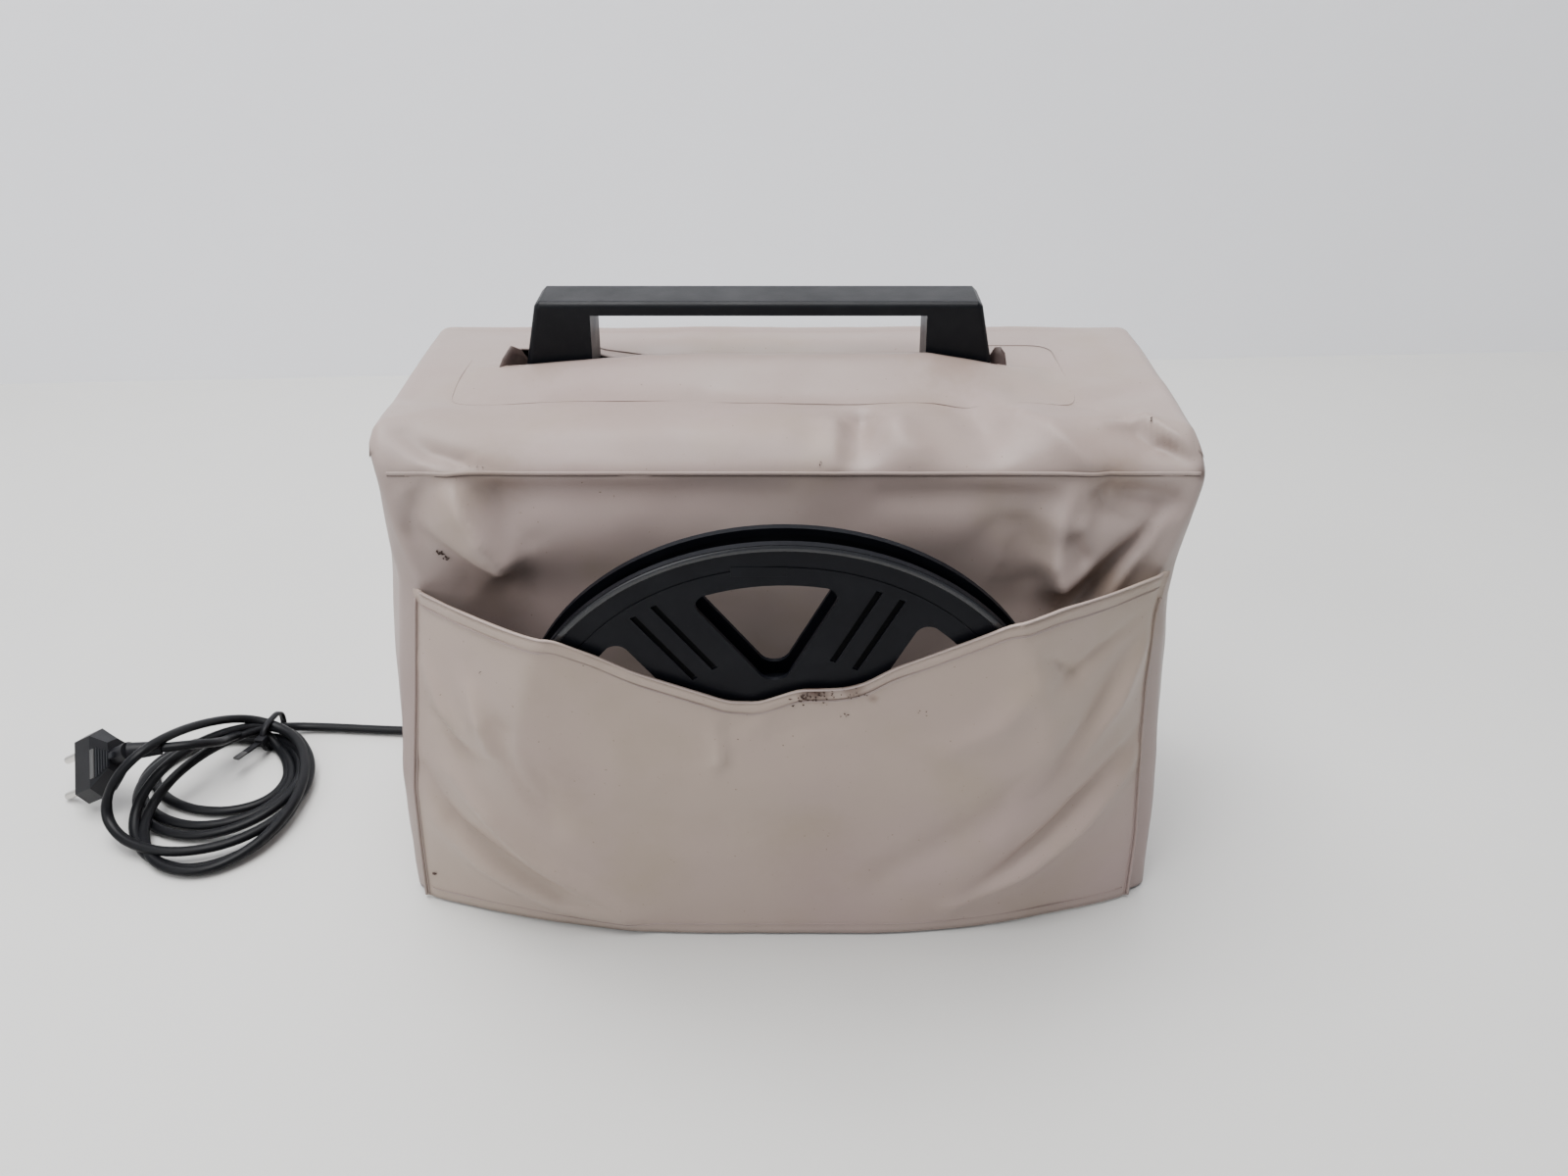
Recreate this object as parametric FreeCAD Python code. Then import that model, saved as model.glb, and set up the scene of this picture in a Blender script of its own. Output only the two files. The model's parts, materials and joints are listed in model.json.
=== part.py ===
"""Cine film projector standing in its vinyl dust cover, with a reel in the cover's pocket.

Frame: millimetres, +Z up, the operator's side faces -Y, and z = 0 is the table.
The origin is below the middle of the box around the projector, its cover and its reel.
Each sub-part is one STEP file in parts/, placed where it sits at rest.
"""

import math
import os

import FreeCAD
import Part

V = FreeCAD.Vector
X_AXIS = V(1, 0, 0)
Y_AXIS = V(0, 1, 0)
Z_AXIS = V(0, 0, 1)

# ---- driving dimensions: cover ----
COVER_W = 320.0
COVER_D = 140.0
COVER_H = 227.0
SEAM_H = 211.0          # height of the seam between the top panel and the upright panels
HEM_H = 1.5             # the hem hangs this far above the table
VINYL = 1.2             # thickness of the welded sheet
SHOULDER_R = 15.0       # rounding of the cover's top edges
POCKET_DEPTH_AT_HEM = 25.0

# ---- driving dimensions: reel ----
REEL_R = 105.0
REEL_W = 12.0
REEL_LEAN = 10.5        # degrees, the rim leans out over the pocket
REEL_PHASE = 4.7        # degrees, turn of the window pattern
REEL_Z = 107.0
REEL_STANDOFF = 20.6    # back of the reel ahead of the cover's front, at the reel's centre
FLANGE_T = 1.6
WINDOW_OUTER = 0.825     # the windows' outer and inner edges, as shares of the reel's radius
WINDOW_INNER = 0.42
WINDOW_HALF_ANGLE = 19.0
WINDOW_FOOT = 6.0

# ---- the frame follows from the depth of cover and reel together ----
LEAN = math.radians(REEL_LEAN)
REEL_REACH = REEL_STANDOFF + REEL_W * math.cos(LEAN) + REEL_R * math.sin(LEAN)
FRONT = -(COVER_D + REEL_REACH) / 2 + REEL_REACH
REAR = FRONT + COVER_D
HALF_W = COVER_W / 2

# ---- driving dimensions: projector ----
BODY_W = 290.0
BODY_FRONT = FRONT + 14.5
BODY_REAR = REAR - 7.5
BODY_TOP = 222.0
BODY_BASE = 6.0
STEP_Z = 170.0          # above this height the front is set back for the reel arms
STEP_BACK = 24.0
SPLIT_Y = FRONT + 66.5  # joint between front and rear housings
WALL = 2.5
EDGE_R = 9.0
PLATE_T = 2.0
CHASSIS_Y = SPLIT_Y + 8.0
BODY_X = BODY_W / 2
UPPER_FRONT = BODY_FRONT + STEP_BACK

# ---- driving dimensions: light path, along X ----
PATH_Y = FRONT + 46.0
PATH_Z = 125.0
SHUTTER_Z = 98.0
SHUTTER_R = 28.0
BOWL_R = 24.0           # the lamp's reflector at its mouth, clear of the shutter shaft below
SPROCKET_X = -122.0
WORM_R = 4.5
WHEEL_R = 18.0
TAKEUP_Z = SHUTTER_Z - WORM_R - WHEEL_R - 0.4
FEED_Z = 190.0
LENS_R = 18.0
PINION_R = 3.0
FOCUS_Z = PATH_Z + LENS_R + PINION_R + 0.3
RUNNING = 0.05          # radial clearance of a shaft in its bearing
SHAFT_R = 2.5

# ---- driving dimensions: handle ----
HANDLE_X = -10.5
HANDLE_Y = BODY_FRONT + 68.0
HANDLE_T = 26.0
HANDLE_TOP = 257.0
HANDLE_FOOT = 168.0
HANDLE_HALF = 97.5
HANDLE_HALF_TOP = 92.5
HANDLE_ROUND = 2.6
HANDLE_GAP_HALF = 69.5
BAR_T = 5.6
HANDLE_DROP = 22.0
GUIDE_GAP = 0.5

# ---- driving dimensions: mains lead ----
LEAD_D = 5.4
PIN_R = 2.0
PIN_L = 19.0
PIN_PITCH = 18.6
LEAD_Y = FRONT + 122.0
PLUG_HALF_W = 17.65
PLUG_FACE_HALF = 13.2
PLUG_HALF_T = 6.85
PLUG_STRAIGHT = 13.0

saved = []


def save(shape, node):
    """Write one sub-part, as the simplest shape that holds its solids."""
    solids = shape.Solids
    if not solids:
        raise ValueError(node + " has no solid")
    result = solids[0] if len(solids) == 1 else Part.makeCompound(solids)
    if not result.isValid():
        raise ValueError(node + " is not valid")
    result.exportStep("parts/" + node + ".step")
    saved.append(node)


def box(x0, x1, y0, y1, z0, z1):
    return Part.makeBox(x1 - x0, y1 - y0, z1 - z0, V(x0, y0, z0))


def rod(r, x, y, z0, z1):
    """Upright cylinder."""
    return Part.makeCylinder(r, z1 - z0, V(x, y, z0), Z_AXIS)


def rod_x(r, x0, x1, y, z):
    return Part.makeCylinder(r, x1 - x0, V(x0, y, z), X_AXIS)


def rod_y(r, x, y0, y1, z):
    return Part.makeCylinder(r, y1 - y0, V(x, y0, z), Y_AXIS)


def tube_x(r_out, r_in, x0, x1, y, z):
    return rod_x(r_out, x0, x1, y, z).cut(rod_x(r_in, x0 - 1, x1 + 1, y, z))


def tube_y(r_out, r_in, x, y0, y1, z):
    return rod_y(r_out, x, y0, y1, z).cut(rod_y(r_in, x, y0 - 1, y1 + 1, z))


def fuse(shapes):
    return shapes[0].multiFuse(shapes[1:]).removeSplitter() if len(shapes) > 1 else shapes[0]


def fillet_along(shape, axis, radius, keep=None):
    """Round the straight edges that run along an axis, where keep(middle) is true."""
    edges = []
    for edge in shape.Edges:
        if edge.Curve.TypeId != "Part::GeomLine":
            continue
        if abs(abs(edge.Curve.Direction.dot(axis)) - 1) > 1e-6:
            continue
        if keep is None or keep(edge.CenterOfMass):
            edges.append(edge)
    return shape.makeFillet(radius, edges)


def prism_xz(points, y0, y1):
    """Outline in the XZ plane, given depth along Y."""
    outline = [V(x, y0, z) for x, z in points]
    return Part.Face(Part.makePolygon(outline + outline[:1])).extrude(V(0, y1 - y0, 0))


def prism_yz(points, x0, x1):
    outline = [V(x0, y, z) for y, z in points]
    return Part.Face(Part.makePolygon(outline + outline[:1])).extrude(V(x1 - x0, 0, 0))


# ---------------------------------------------------------------- cover
def cover_shell(inset):
    """The space inside the cover, drawn in by inset: a block with rounded top edges."""
    block = box(-HALF_W + inset, HALF_W - inset, FRONT + inset, REAR - inset, 0, COVER_H - inset)
    top = COVER_H - inset
    return fillet_along(block, X_AXIS, SHOULDER_R - inset, lambda p: p.z > top - 1)


def handle_slot(margin=0.0):
    """The cut through the cover's top that the handle comes up through."""
    half = HANDLE_HALF + 5.0 + margin
    depth = HANDLE_T / 2 + 3.0 + margin
    slot = box(HANDLE_X - 2.5 - half, HANDLE_X - 2.5 + half, HANDLE_Y - depth, HANDLE_Y + depth,
               COVER_H - 8, COVER_H + 8)
    return fillet_along(slot, Z_AXIS, 4.0 + margin)


def build_cover():
    shell = cover_shell(0).cut(cover_shell(VINYL))
    big = 400.0
    upper = box(-big, big, -big, big, SEAM_H, big)
    inner_x = HALF_W - VINYL
    middle = box(-inner_x, inner_x, -big, big, HEM_H, SEAM_H)
    save(shell.common(upper).common(box(-inner_x, inner_x, -big, big, 0, big)).cut(handle_slot()),
         "cover_top_panel")
    save(shell.common(middle).common(box(-big, big, -big, FRONT + VINYL, 0, big)),
         "cover_front_panel")
    save(shell.common(middle).common(box(-big, big, REAR - VINYL, big, 0, big)),
         "cover_rear_panel")
    for name, x0, x1 in (("left", -HALF_W, -inner_x), ("right", inner_x, HALF_W)):
        panel = cover_shell(0).common(box(x0, x1, -big, big, HEM_H, big))
        if name == "left":
            panel = panel.cut(box(-big, 0, LEAD_Y - 8, LEAD_Y + 7, 0, 14))
        save(panel, "cover_" + name + "_panel")
    patch = box(HANDLE_X - 125, HANDLE_X + 120, HANDLE_Y - 27, HANDLE_Y + 24,
                COVER_H - 2 * VINYL, COVER_H - VINYL)
    patch = fillet_along(patch, Z_AXIS, 12.0)
    save(patch.cut(handle_slot(0.6)), "cover_slot_patch")


def pocket_profile(z, offsets):
    """Closed horizontal outline of the pocket sheet, out from the cover's front at each station."""
    stations = (HALF_W - 0.6, 106.0, 92.0, 60.0, 0.0)
    outer = []
    for x, out in list(zip(stations, offsets)):
        outer.append(V(-x, FRONT - out - VINYL, z))
    for x, out in reversed(list(zip(stations[:-1], offsets[:-1]))):
        outer.append(V(x, FRONT - out - VINYL, z))
    inner = [p + V(0, VINYL, 0) for p in reversed(outer)]
    points = outer + inner
    return Part.makePolygon(points + points[:1])


def build_pocket():
    belly = POCKET_DEPTH_AT_HEM
    profiles = [
        pocket_profile(HEM_H, (0, 0.52 * belly, 0.68 * belly, 0.88 * belly, belly)),
        pocket_profile(60.0, (0, 25.2, 27.0, 29.0, 30.0)),
        pocket_profile(107.0, (0, 34.6, 35.2, 36.0, 36.0)),
        pocket_profile(180.0, (0, 48.0, 48.2, 48.5, 48.5)),
    ]
    sheet = Part.makeLoft(profiles, True, True)
    mouth = [(-HALF_W - 5, 162), (-HALF_W, 162), (-86, 165), (-56, 149), (-16, 134), (24, 141),
             (61, 161), (86, 172), (HALF_W, 165), (HALF_W + 5, 165), (HALF_W + 5, 200),
             (-HALF_W - 5, 200)]
    save(sheet.cut(prism_xz(mouth, FRONT - 80, FRONT + 5)), "cover_pocket_panel")


# ---------------------------------------------------------------- reel
def place_reel(shape):
    """From the reel's own frame, disc in XZ with its back at y = 0, to its place in the pocket."""
    shape.rotate(V(0, 0, 0), Y_AXIS, -REEL_PHASE)
    shape.rotate(V(0, 0, 0), X_AXIS, REEL_LEAN)
    shape.translate(V(0, FRONT - REEL_STANDOFF, REEL_Z))
    return shape


def reel_window(y0, y1):
    """One window: wide and curved at the rim, narrow and round at the hub."""
    outer_r = WINDOW_OUTER * REEL_R
    inner_r = WINDOW_INNER * REEL_R
    half = math.radians(WINDOW_HALF_ANGLE)
    a = V(-outer_r * math.sin(half), y0, outer_r * math.cos(half))
    b = V(outer_r * math.sin(half), y0, outer_r * math.cos(half))
    c = V(WINDOW_FOOT, y0, inner_r)
    d = V(-WINDOW_FOOT, y0, inner_r)
    edges = [Part.Arc(a, V(0, y0, outer_r), b).toShape(), Part.makeLine(b, c),
             Part.Arc(c, V(0, y0, inner_r - 4.0), d).toShape(), Part.makeLine(d, a)]
    block = Part.Face(Part.Wire(edges)).extrude(V(0, y1 - y0, 0))
    return fillet_along(block, Y_AXIS, 5.0, lambda p: p.z > 0.7 * REEL_R)


def reel_flange(y0, y1, rim_y0, rim_y1, face_y):
    """A flange disc with a raised rim, six windows, and two grooves along each spoke."""
    disc = rod_y(REEL_R - 1, 0, y0, y1, 0)
    rim = tube_y(REEL_R, REEL_R - 3.2, 0, rim_y0, rim_y1, 0)
    disc = fuse([disc, rim])
    disc = disc.cut(rod_y(6.5, 0, y0 - 5, y1 + 5, 0))
    window = reel_window(y0 - 3, y1 + 3)
    groove = box(-5.9, -3.5, face_y - 0.8, face_y + 0.8, 0.50 * REEL_R, 0.86 * REEL_R)
    grooves = groove.fuse(groove.mirror(V(0, 0, 0), X_AXIS))
    grooves.rotate(V(0, 0, 0), Y_AXIS, 30)
    ring = tube_y(0.91 * REEL_R, 0.91 * REEL_R - 0.8, 0, face_y - 0.3, face_y + 0.3, 0)
    disc = disc.cut(ring)
    for _ in range(6):
        disc = disc.cut(window)
        disc = disc.cut(grooves)
        window.rotate(V(0, 0, 0), Y_AXIS, 60)
        grooves.rotate(V(0, 0, 0), Y_AXIS, 60)
    return disc


def build_reel():
    back = -REEL_W
    rear = reel_flange(-FLANGE_T, 0, -FLANGE_T - 0.7, 0, -FLANGE_T)
    front = reel_flange(back, back + FLANGE_T, back, back + FLANGE_T + 0.7, back)
    core = tube_y(34.0, 30.0, 0, back + FLANGE_T, -FLANGE_T, 0)
    core = core.fuse(tube_y(10.0, 6.5, 0, back + FLANGE_T, -FLANGE_T, 0))
    for k in range(3):
        web = box(-1.2, 1.2, back + FLANGE_T, -FLANGE_T, 9.0, 31.0)
        web.rotate(V(0, 0, 0), Y_AXIS, 120 * k)
        core = core.fuse(web)
    save(place_reel(rear), "reel_rear_flange")
    save(place_reel(front), "reel_front_flange")
    save(place_reel(core.removeSplitter()), "reel_core")


# ---------------------------------------------------------------- handle
def build_handle():
    def side(sign):
        points = [(HANDLE_HALF, HANDLE_FOOT), (HANDLE_HALF, HANDLE_TOP - 26.0),
                  (HANDLE_HALF_TOP, HANDLE_TOP - 2.0), (HANDLE_HALF_TOP - 2.0, HANDLE_TOP)]
        return [(HANDLE_X + sign * x, z) for x, z in points]

    gap = [(HANDLE_X + HANDLE_GAP_HALF + 1.0, HANDLE_FOOT), (HANDLE_X + HANDLE_GAP_HALF, HANDLE_TOP - BAR_T),
           (HANDLE_X - HANDLE_GAP_HALF, HANDLE_TOP - BAR_T), (HANDLE_X - HANDLE_GAP_HALF - 1.0, HANDLE_FOOT)]
    outline = side(-1) + side(1)[::-1] + gap
    y0 = HANDLE_Y - HANDLE_T / 2
    y1 = HANDLE_Y + HANDLE_T / 2
    handle = prism_xz(outline, y0, y1)

    def outer_edge(edge):
        middle = edge.CenterOfMass
        across = abs(middle.y - HANDLE_Y) > HANDLE_T / 2 - 0.1
        above = middle.z > HANDLE_TOP - 0.1
        flank = abs(middle.x - HANDLE_X) > HANDLE_HALF_TOP - 2.5 and middle.z > HANDLE_TOP - 26.0
        return across and (above or flank)

    grip = handle.makeFillet(HANDLE_ROUND, [e for e in handle.Edges if outer_edge(e)])
    save(grip, "handle")
    guides = []
    for sign in (-1, 1):
        inner = HANDLE_X + sign * (HANDLE_GAP_HALF - GUIDE_GAP)
        outer = HANDLE_X + sign * (HANDLE_HALF + GUIDE_GAP)
        x0, x1 = min(inner, outer), max(inner, outer)
        block = box(x0 - 2.5, x1 + 2.5, y0 - 3.0, y1 + 3.0, HANDLE_FOOT - 30, BODY_TOP - WALL)
        guides.append(block.cut(box(x0, x1, y0 - GUIDE_GAP, y1 + GUIDE_GAP, HANDLE_FOOT - 27, BODY_TOP)))
    save(Part.makeCompound(guides), "handle_guides")


# ---------------------------------------------------------------- housings
def leg_slots():
    """Cuts through the housing's top for the two handle legs."""
    cuts = []
    for sign in (-1, 1):
        inner = HANDLE_X + sign * (HANDLE_GAP_HALF - 1.0)
        outer = HANDLE_X + sign * (HANDLE_HALF + 1.0)
        cuts.append(box(min(inner, outer), max(inner, outer), HANDLE_Y - HANDLE_T / 2 - 1,
                        HANDLE_Y + HANDLE_T / 2 + 1, BODY_TOP - 10, BODY_TOP + 10))
    return Part.makeCompound(cuts)


def stepped_block(inset, y0, y1):
    """Body outline seen from the side: the upper front is set back. Cut to y0..y1."""
    front = BODY_FRONT + inset
    step = UPPER_FRONT + inset
    top = BODY_TOP - inset
    shape = prism_yz([(front, BODY_BASE + 3), (front, STEP_Z - inset), (step, STEP_Z - inset),
                      (step, top), (BODY_REAR - inset, top), (BODY_REAR - inset, BODY_BASE + 3)],
                     -BODY_X + inset, BODY_X - inset)
    shape = fillet_along(shape, Y_AXIS, EDGE_R - inset, lambda p: p.z > BODY_BASE + 10)
    return shape.common(box(-BODY_X, BODY_X, y0, y1, 0, BODY_TOP))


def build_housings():
    big = 400.0
    front = stepped_block(0, BODY_FRONT, SPLIT_Y).cut(stepped_block(WALL, -big, big))
    front = front.cut(rod_x(LENS_R + 6, -BODY_X - 1, -BODY_X + 10, PATH_Y, PATH_Z))
    for x, z, r in ((95, 60, 4.2), (-20, 60, 3.2), (40, 60, 3.2), (-118, FOCUS_Z, 3.2), (62, 110, 5.2),
                    (84, 110, 5.2)):
        front = front.cut(rod_y(r, x, BODY_FRONT - 1, BODY_FRONT + WALL + 1, z))
    for x, z, r in ((SPROCKET_X, FEED_Z, 3.0), (-90, 196, 4.0), (130, 196, 4.0)):
        front = front.cut(rod_y(r, x, UPPER_FRONT - 1, UPPER_FRONT + WALL + 1, z))
    save(front, "front_housing")
    rear = stepped_block(0, SPLIT_Y + 0.5, BODY_REAR).cut(stepped_block(WALL, -big, big))
    rear = rear.cut(leg_slots())
    rear = rear.cut(box(-BODY_X - 1, -BODY_X + WALL + 1, LEAD_Y - 7, LEAD_Y + 5, 0, 20))
    for k in range(9):
        z = 76.0 + 8.0 * k
        rear = rear.cut(box(-96, -24, BODY_REAR - WALL - 1, BODY_REAR + 1, z, z + 3.5))
        rear = rear.cut(box(40, 120, BODY_REAR - WALL - 1, BODY_REAR + 1, z + 36, z + 39.5))
    save(rear, "rear_housing")
    base = box(-BODY_X, BODY_X, BODY_FRONT, BODY_REAR, BODY_BASE, BODY_BASE + 3)
    base = base.cut(box(-BODY_X - 1, -116, LEAD_Y - 8, BODY_REAR + 1, 0, 30))
    base = base.cut(rod(4.2, -120, BODY_FRONT + 18, 0, 30))
    save(base, "base_plate")
    feet = []
    for x, y in ((120, BODY_FRONT + 18), (120, BODY_REAR - 18), (-100, BODY_REAR - 18)):
        feet.append(Part.makeCone(9.0, 10.5, BODY_BASE, V(x, y, 0), Z_AXIS))
    save(Part.makeCompound(feet), "rubber_feet")
    knob = rod(12.0, -120, BODY_FRONT + 18, 0, BODY_BASE - 0.2)
    save(knob.fuse(rod(4.1, -120, BODY_FRONT + 18, BODY_BASE - 0.3, 34)), "tilt_foot")
    chassis = box(-BODY_X + 6, BODY_X - 6, CHASSIS_Y, CHASSIS_Y + PLATE_T, BODY_BASE + 3, BODY_TOP - 9)
    for sign in (-1, 1):
        middle = HANDLE_X + sign * (HANDLE_GAP_HALF + HANDLE_HALF) / 2
        chassis = chassis.cut(box(middle - 17, middle + 17, 0, 200, HANDLE_FOOT - 31, BODY_TOP))
    for z in (FEED_Z, TAKEUP_Z):
        chassis = chassis.cut(rod_y(SHAFT_R + RUNNING, SPROCKET_X, 0, 200, z))
    save(chassis, "chassis_plate")
    screws = []
    for x in (-132, 132):
        for z in (30, 205):
            screws.append(rod_y(3.2, x, BODY_REAR, BODY_REAR + 1.2, z).cut(
                box(x - 2.4, x + 2.4, BODY_REAR + 0.5, BODY_REAR + 2, z - 0.5, z + 0.5)))
    save(Part.makeCompound(screws), "housing_screws")


# ---------------------------------------------------------------- optics
def build_optics():
    left = -BODY_X + 4.0
    save(tube_x(LENS_R, LENS_R - 3, left, -92, PATH_Y, PATH_Z), "lens_barrel")
    blank = Part.makeSphere(60).common(rod_x(LENS_R - 3, -70, 70, 0, 0)).common(
        box(56.5, 61, -30, 30, -30, 30))
    glasses = []
    for x in (left + 4.0, left + 26.0, -99.0):
        element = blank.copy()
        element.translate(V(x - 56.5, PATH_Y, PATH_Z))
        glasses.append(element)
    save(Part.makeCompound(glasses), "lens_elements")
    holder = tube_x(LENS_R + 4, LENS_R + RUNNING, -128, -94, PATH_Y, PATH_Z)
    foot = box(-108, -95, PATH_Y + 16, CHASSIS_Y, PATH_Z - 8, PATH_Z + 8)
    holder = holder.fuse(foot.cut(rod_x(LENS_R + 2, -200, 0, PATH_Y, PATH_Z)))
    holder = holder.cut(box(-124, -112, PATH_Y - 13, PATH_Y + 6, PATH_Z + 10, PATH_Z + 40))
    save(holder.removeSplitter(), "lens_holder")
    gate = box(-82, -79, PATH_Y - 18, PATH_Y + 18, PATH_Z - 15, PATH_Z + 38)
    gate = gate.fuse(box(-82, -79, PATH_Y + 17, CHASSIS_Y, PATH_Z - 15, PATH_Z + 10)).removeSplitter()
    save(gate.cut(box(-85, -75, PATH_Y - 2.1, PATH_Y + 2.1, PATH_Z - 2.9, PATH_Z + 2.9)), "gate_plate")
    plate = box(-84.3, -82.3, PATH_Y - 8, PATH_Y + 8, PATH_Z - 12, PATH_Z + 30)
    save(plate.cut(box(-90, -80, PATH_Y - 4, PATH_Y + 4, PATH_Z - 5, PATH_Z + 5)), "pressure_plate")
    bowl = Part.makeCone(BOWL_R, 9.0, 22.0, V(-36, PATH_Y, PATH_Z), X_AXIS)
    hollow = Part.makeCone(BOWL_R - 1.2, 7.5, 21.0, V(-36.1, PATH_Y, PATH_Z), X_AXIS)
    save(bowl.cut(hollow).cut(rod_x(4.6, -30, 10, PATH_Y, PATH_Z)), "lamp_reflector")
    bulb = rod_x(4.2, -26, -8, PATH_Y, PATH_Z)
    save(bulb.fuse(Part.makeSphere(4.2, V(-26, PATH_Y, PATH_Z))).removeSplitter(), "lamp_bulb")
    save(box(-6, 10, PATH_Y - 10, PATH_Y + 10, PATH_Z - 8, PATH_Z + 8), "lamp_socket")
    house = box(-42, 12, PATH_Y - 28, PATH_Y + 28, PATH_Z - 8, PATH_Z + 30)
    house = house.cut(box(-43, 13, PATH_Y - 27, PATH_Y + 27, PATH_Z - 9, PATH_Z + 29))
    save(house, "lamp_house")


# ---------------------------------------------------------------- drive
def build_drive():
    motor_z = 38.0
    save(tube_x(20.0, SHAFT_R + RUNNING, 20, 78, PATH_Y, motor_z), "motor_body")
    pulley = rod_x(8.0, 0, 8, PATH_Y, motor_z).cut(tube_x(9.0, 5.4, 1.5, 6.5, PATH_Y, motor_z))
    save(fuse([rod_x(SHAFT_R, -6, 100, PATH_Y, motor_z), pulley]), "motor_shaft")
    hub = tube_x(6.0, SHAFT_R, 84, 98, PATH_Y, motor_z)
    for k in range(8):
        blade = box(86, 97, PATH_Y - 0.7, PATH_Y + 0.7, motor_z + 5.5, motor_z + 21)
        blade.rotate(V(90, PATH_Y, motor_z), X_AXIS, 45 * k)
        hub = hub.fuse(blade)
    save(hub.removeSplitter(), "fan_wheel")
    worm = rod_x(WORM_R, SPROCKET_X - 8, SPROCKET_X + 8, PATH_Y, SHUTTER_Z)
    save(fuse([rod_x(SHAFT_R, -136, 14, PATH_Y, SHUTTER_Z), worm]), "shutter_shaft")
    big_pulley = tube_x(18.0, SHAFT_R, 0, 8, PATH_Y, SHUTTER_Z)
    save(big_pulley.cut(tube_x(19.0, 15.4, 1.5, 6.5, PATH_Y, SHUTTER_Z)), "flywheel_pulley")
    disc = tube_x(SHUTTER_R, SHAFT_R, -66, -65, PATH_Y, SHUTTER_Z)
    for k in range(3):
        notch = Part.makeCylinder(SHUTTER_R + 1, 3, V(-67, PATH_Y, SHUTTER_Z), X_AXIS, 55)
        notch = notch.cut(rod_x(12, -70, -60, PATH_Y, SHUTTER_Z))
        notch.rotate(V(0, PATH_Y, SHUTTER_Z), X_AXIS, 120 * k + 30)
        disc = disc.cut(notch)
    save(disc, "shutter_blades")
    bearings = []
    for x in (-58, -106):
        block = box(x, x + 7, PATH_Y - 8, CHASSIS_Y, SHUTTER_Z - 7, SHUTTER_Z + 4.6)
        bearings.append(block.cut(rod_x(SHAFT_R + RUNNING, x - 1, x + 8, PATH_Y, SHUTTER_Z)))
    save(Part.makeCompound(bearings), "shutter_bearings")
    gap = 0.4
    belt_r = 5.4 + gap
    loop_r = 15.4 + gap
    belt = belt_loop(belt_r, loop_r, 2.6, 2.7, 5.3, motor_z, SHUTTER_Z)
    save(belt, "drive_belt")
    for name, z in (("takeup_sprocket", TAKEUP_Z), ("feed_sprocket", FEED_Z)):
        front_y = BODY_FRONT + 8.0
        wheel = rod_y(10.0, SPROCKET_X, front_y, front_y + 10, z)
        wheel = wheel.cut(tube_y(11.0, 8.6, SPROCKET_X, front_y + 2.5, front_y + 7.5, z))
        if name == "feed_sprocket":
            wheel.translate(V(0, STEP_BACK - 20.0, 0))
        axle = rod_y(SHAFT_R, SPROCKET_X, front_y, CHASSIS_Y + PLATE_T + 3, z)
        pulley = rod_y(9.0, SPROCKET_X, SPLIT_Y + 1.5, SPLIT_Y + 6.5, z)
        save(fuse([wheel, axle, pulley]), name)
    wheel = tube_y(WHEEL_R, SHAFT_R, SPROCKET_X, PATH_Y - 4, PATH_Y + 4, TAKEUP_Z)
    save(wheel, "worm_wheel")
    strap = strap_loop(SPROCKET_X, TAKEUP_Z, FEED_Z, 9.3, 1.2, SPLIT_Y + 2.2, SPLIT_Y + 5.8)
    save(strap, "timing_belt")


def belt_loop(r_low, r_high, thick, x0, x1, z_low, z_high):
    """Round belt drawn as a flat loop in the YZ plane round two pulleys, one over the other."""
    def outline(grow):
        a, b = r_low + grow, r_high + grow
        span = z_high - z_low
        tilt = math.asin((b - a) / span)
        c, s = math.cos(tilt), math.sin(tilt)
        low = V(x0, PATH_Y + a * c, z_low - a * s)
        high = V(x0, PATH_Y + b * c, z_high - b * s)
        low2 = V(x0, PATH_Y - a * c, z_low - a * s)
        high2 = V(x0, PATH_Y - b * c, z_high - b * s)
        edges = [Part.makeLine(low, high), Part.Arc(high, V(x0, PATH_Y, z_high + b), high2).toShape(),
                 Part.makeLine(high2, low2), Part.Arc(low2, V(x0, PATH_Y, z_low - a), low).toShape()]
        return Part.Face(Part.Wire(edges)).extrude(V(x1 - x0, 0, 0))

    return outline(thick).cut(outline(0))


def strap_loop(x, z_low, z_high, r, thick, y0, y1):
    """Belt with straight upright runs round two equal pulleys, in the XZ plane."""
    def outline(radius):
        low, high = V(x - radius, y0, z_low), V(x - radius, y0, z_high)
        low2, high2 = V(x + radius, y0, z_low), V(x + radius, y0, z_high)
        edges = [Part.makeLine(low, high), Part.Arc(high, V(x, y0, z_high + radius), high2).toShape(),
                 Part.makeLine(high2, low2), Part.Arc(low2, V(x, y0, z_low - radius), low).toShape()]
        return Part.Face(Part.Wire(edges)).extrude(V(0, y1 - y0, 0))

    return outline(r + thick).cut(outline(r))


# ---------------------------------------------------------------- reel arms and controls
def build_arms():
    z = 196.0
    y0 = UPPER_FRONT - 8.0
    y1 = UPPER_FRONT - 1.0
    for name, pivot, end in (("supply", -90.0, 5.0), ("takeup", 130.0, 35.0)):
        arm = fuse([box(min(pivot, end), max(pivot, end), y0, y1, z - 11, z + 11),
                    rod_y(11, pivot, y0, y1, z), rod_y(11, end, y0, y1, z)])
        arm = arm.cut(rod_y(3.0 + RUNNING, end, y0 - 1, y1 + 1, z))
        axle = rod_y(3.95, pivot, y1 - 0.5, UPPER_FRONT + 20, z)
        save(arm.fuse(axle).removeSplitter(), name + "_arm")
        spindle = fuse([rod_y(3.0, end, y0 - 3, y1, z), rod_y(9.0, end, y0 - 3, y0 - 0.3, z),
                        rod_y(4.0, end, y0 - 20, y0 - 2.9, z)])
        save(spindle, name + "_spindle")


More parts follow.
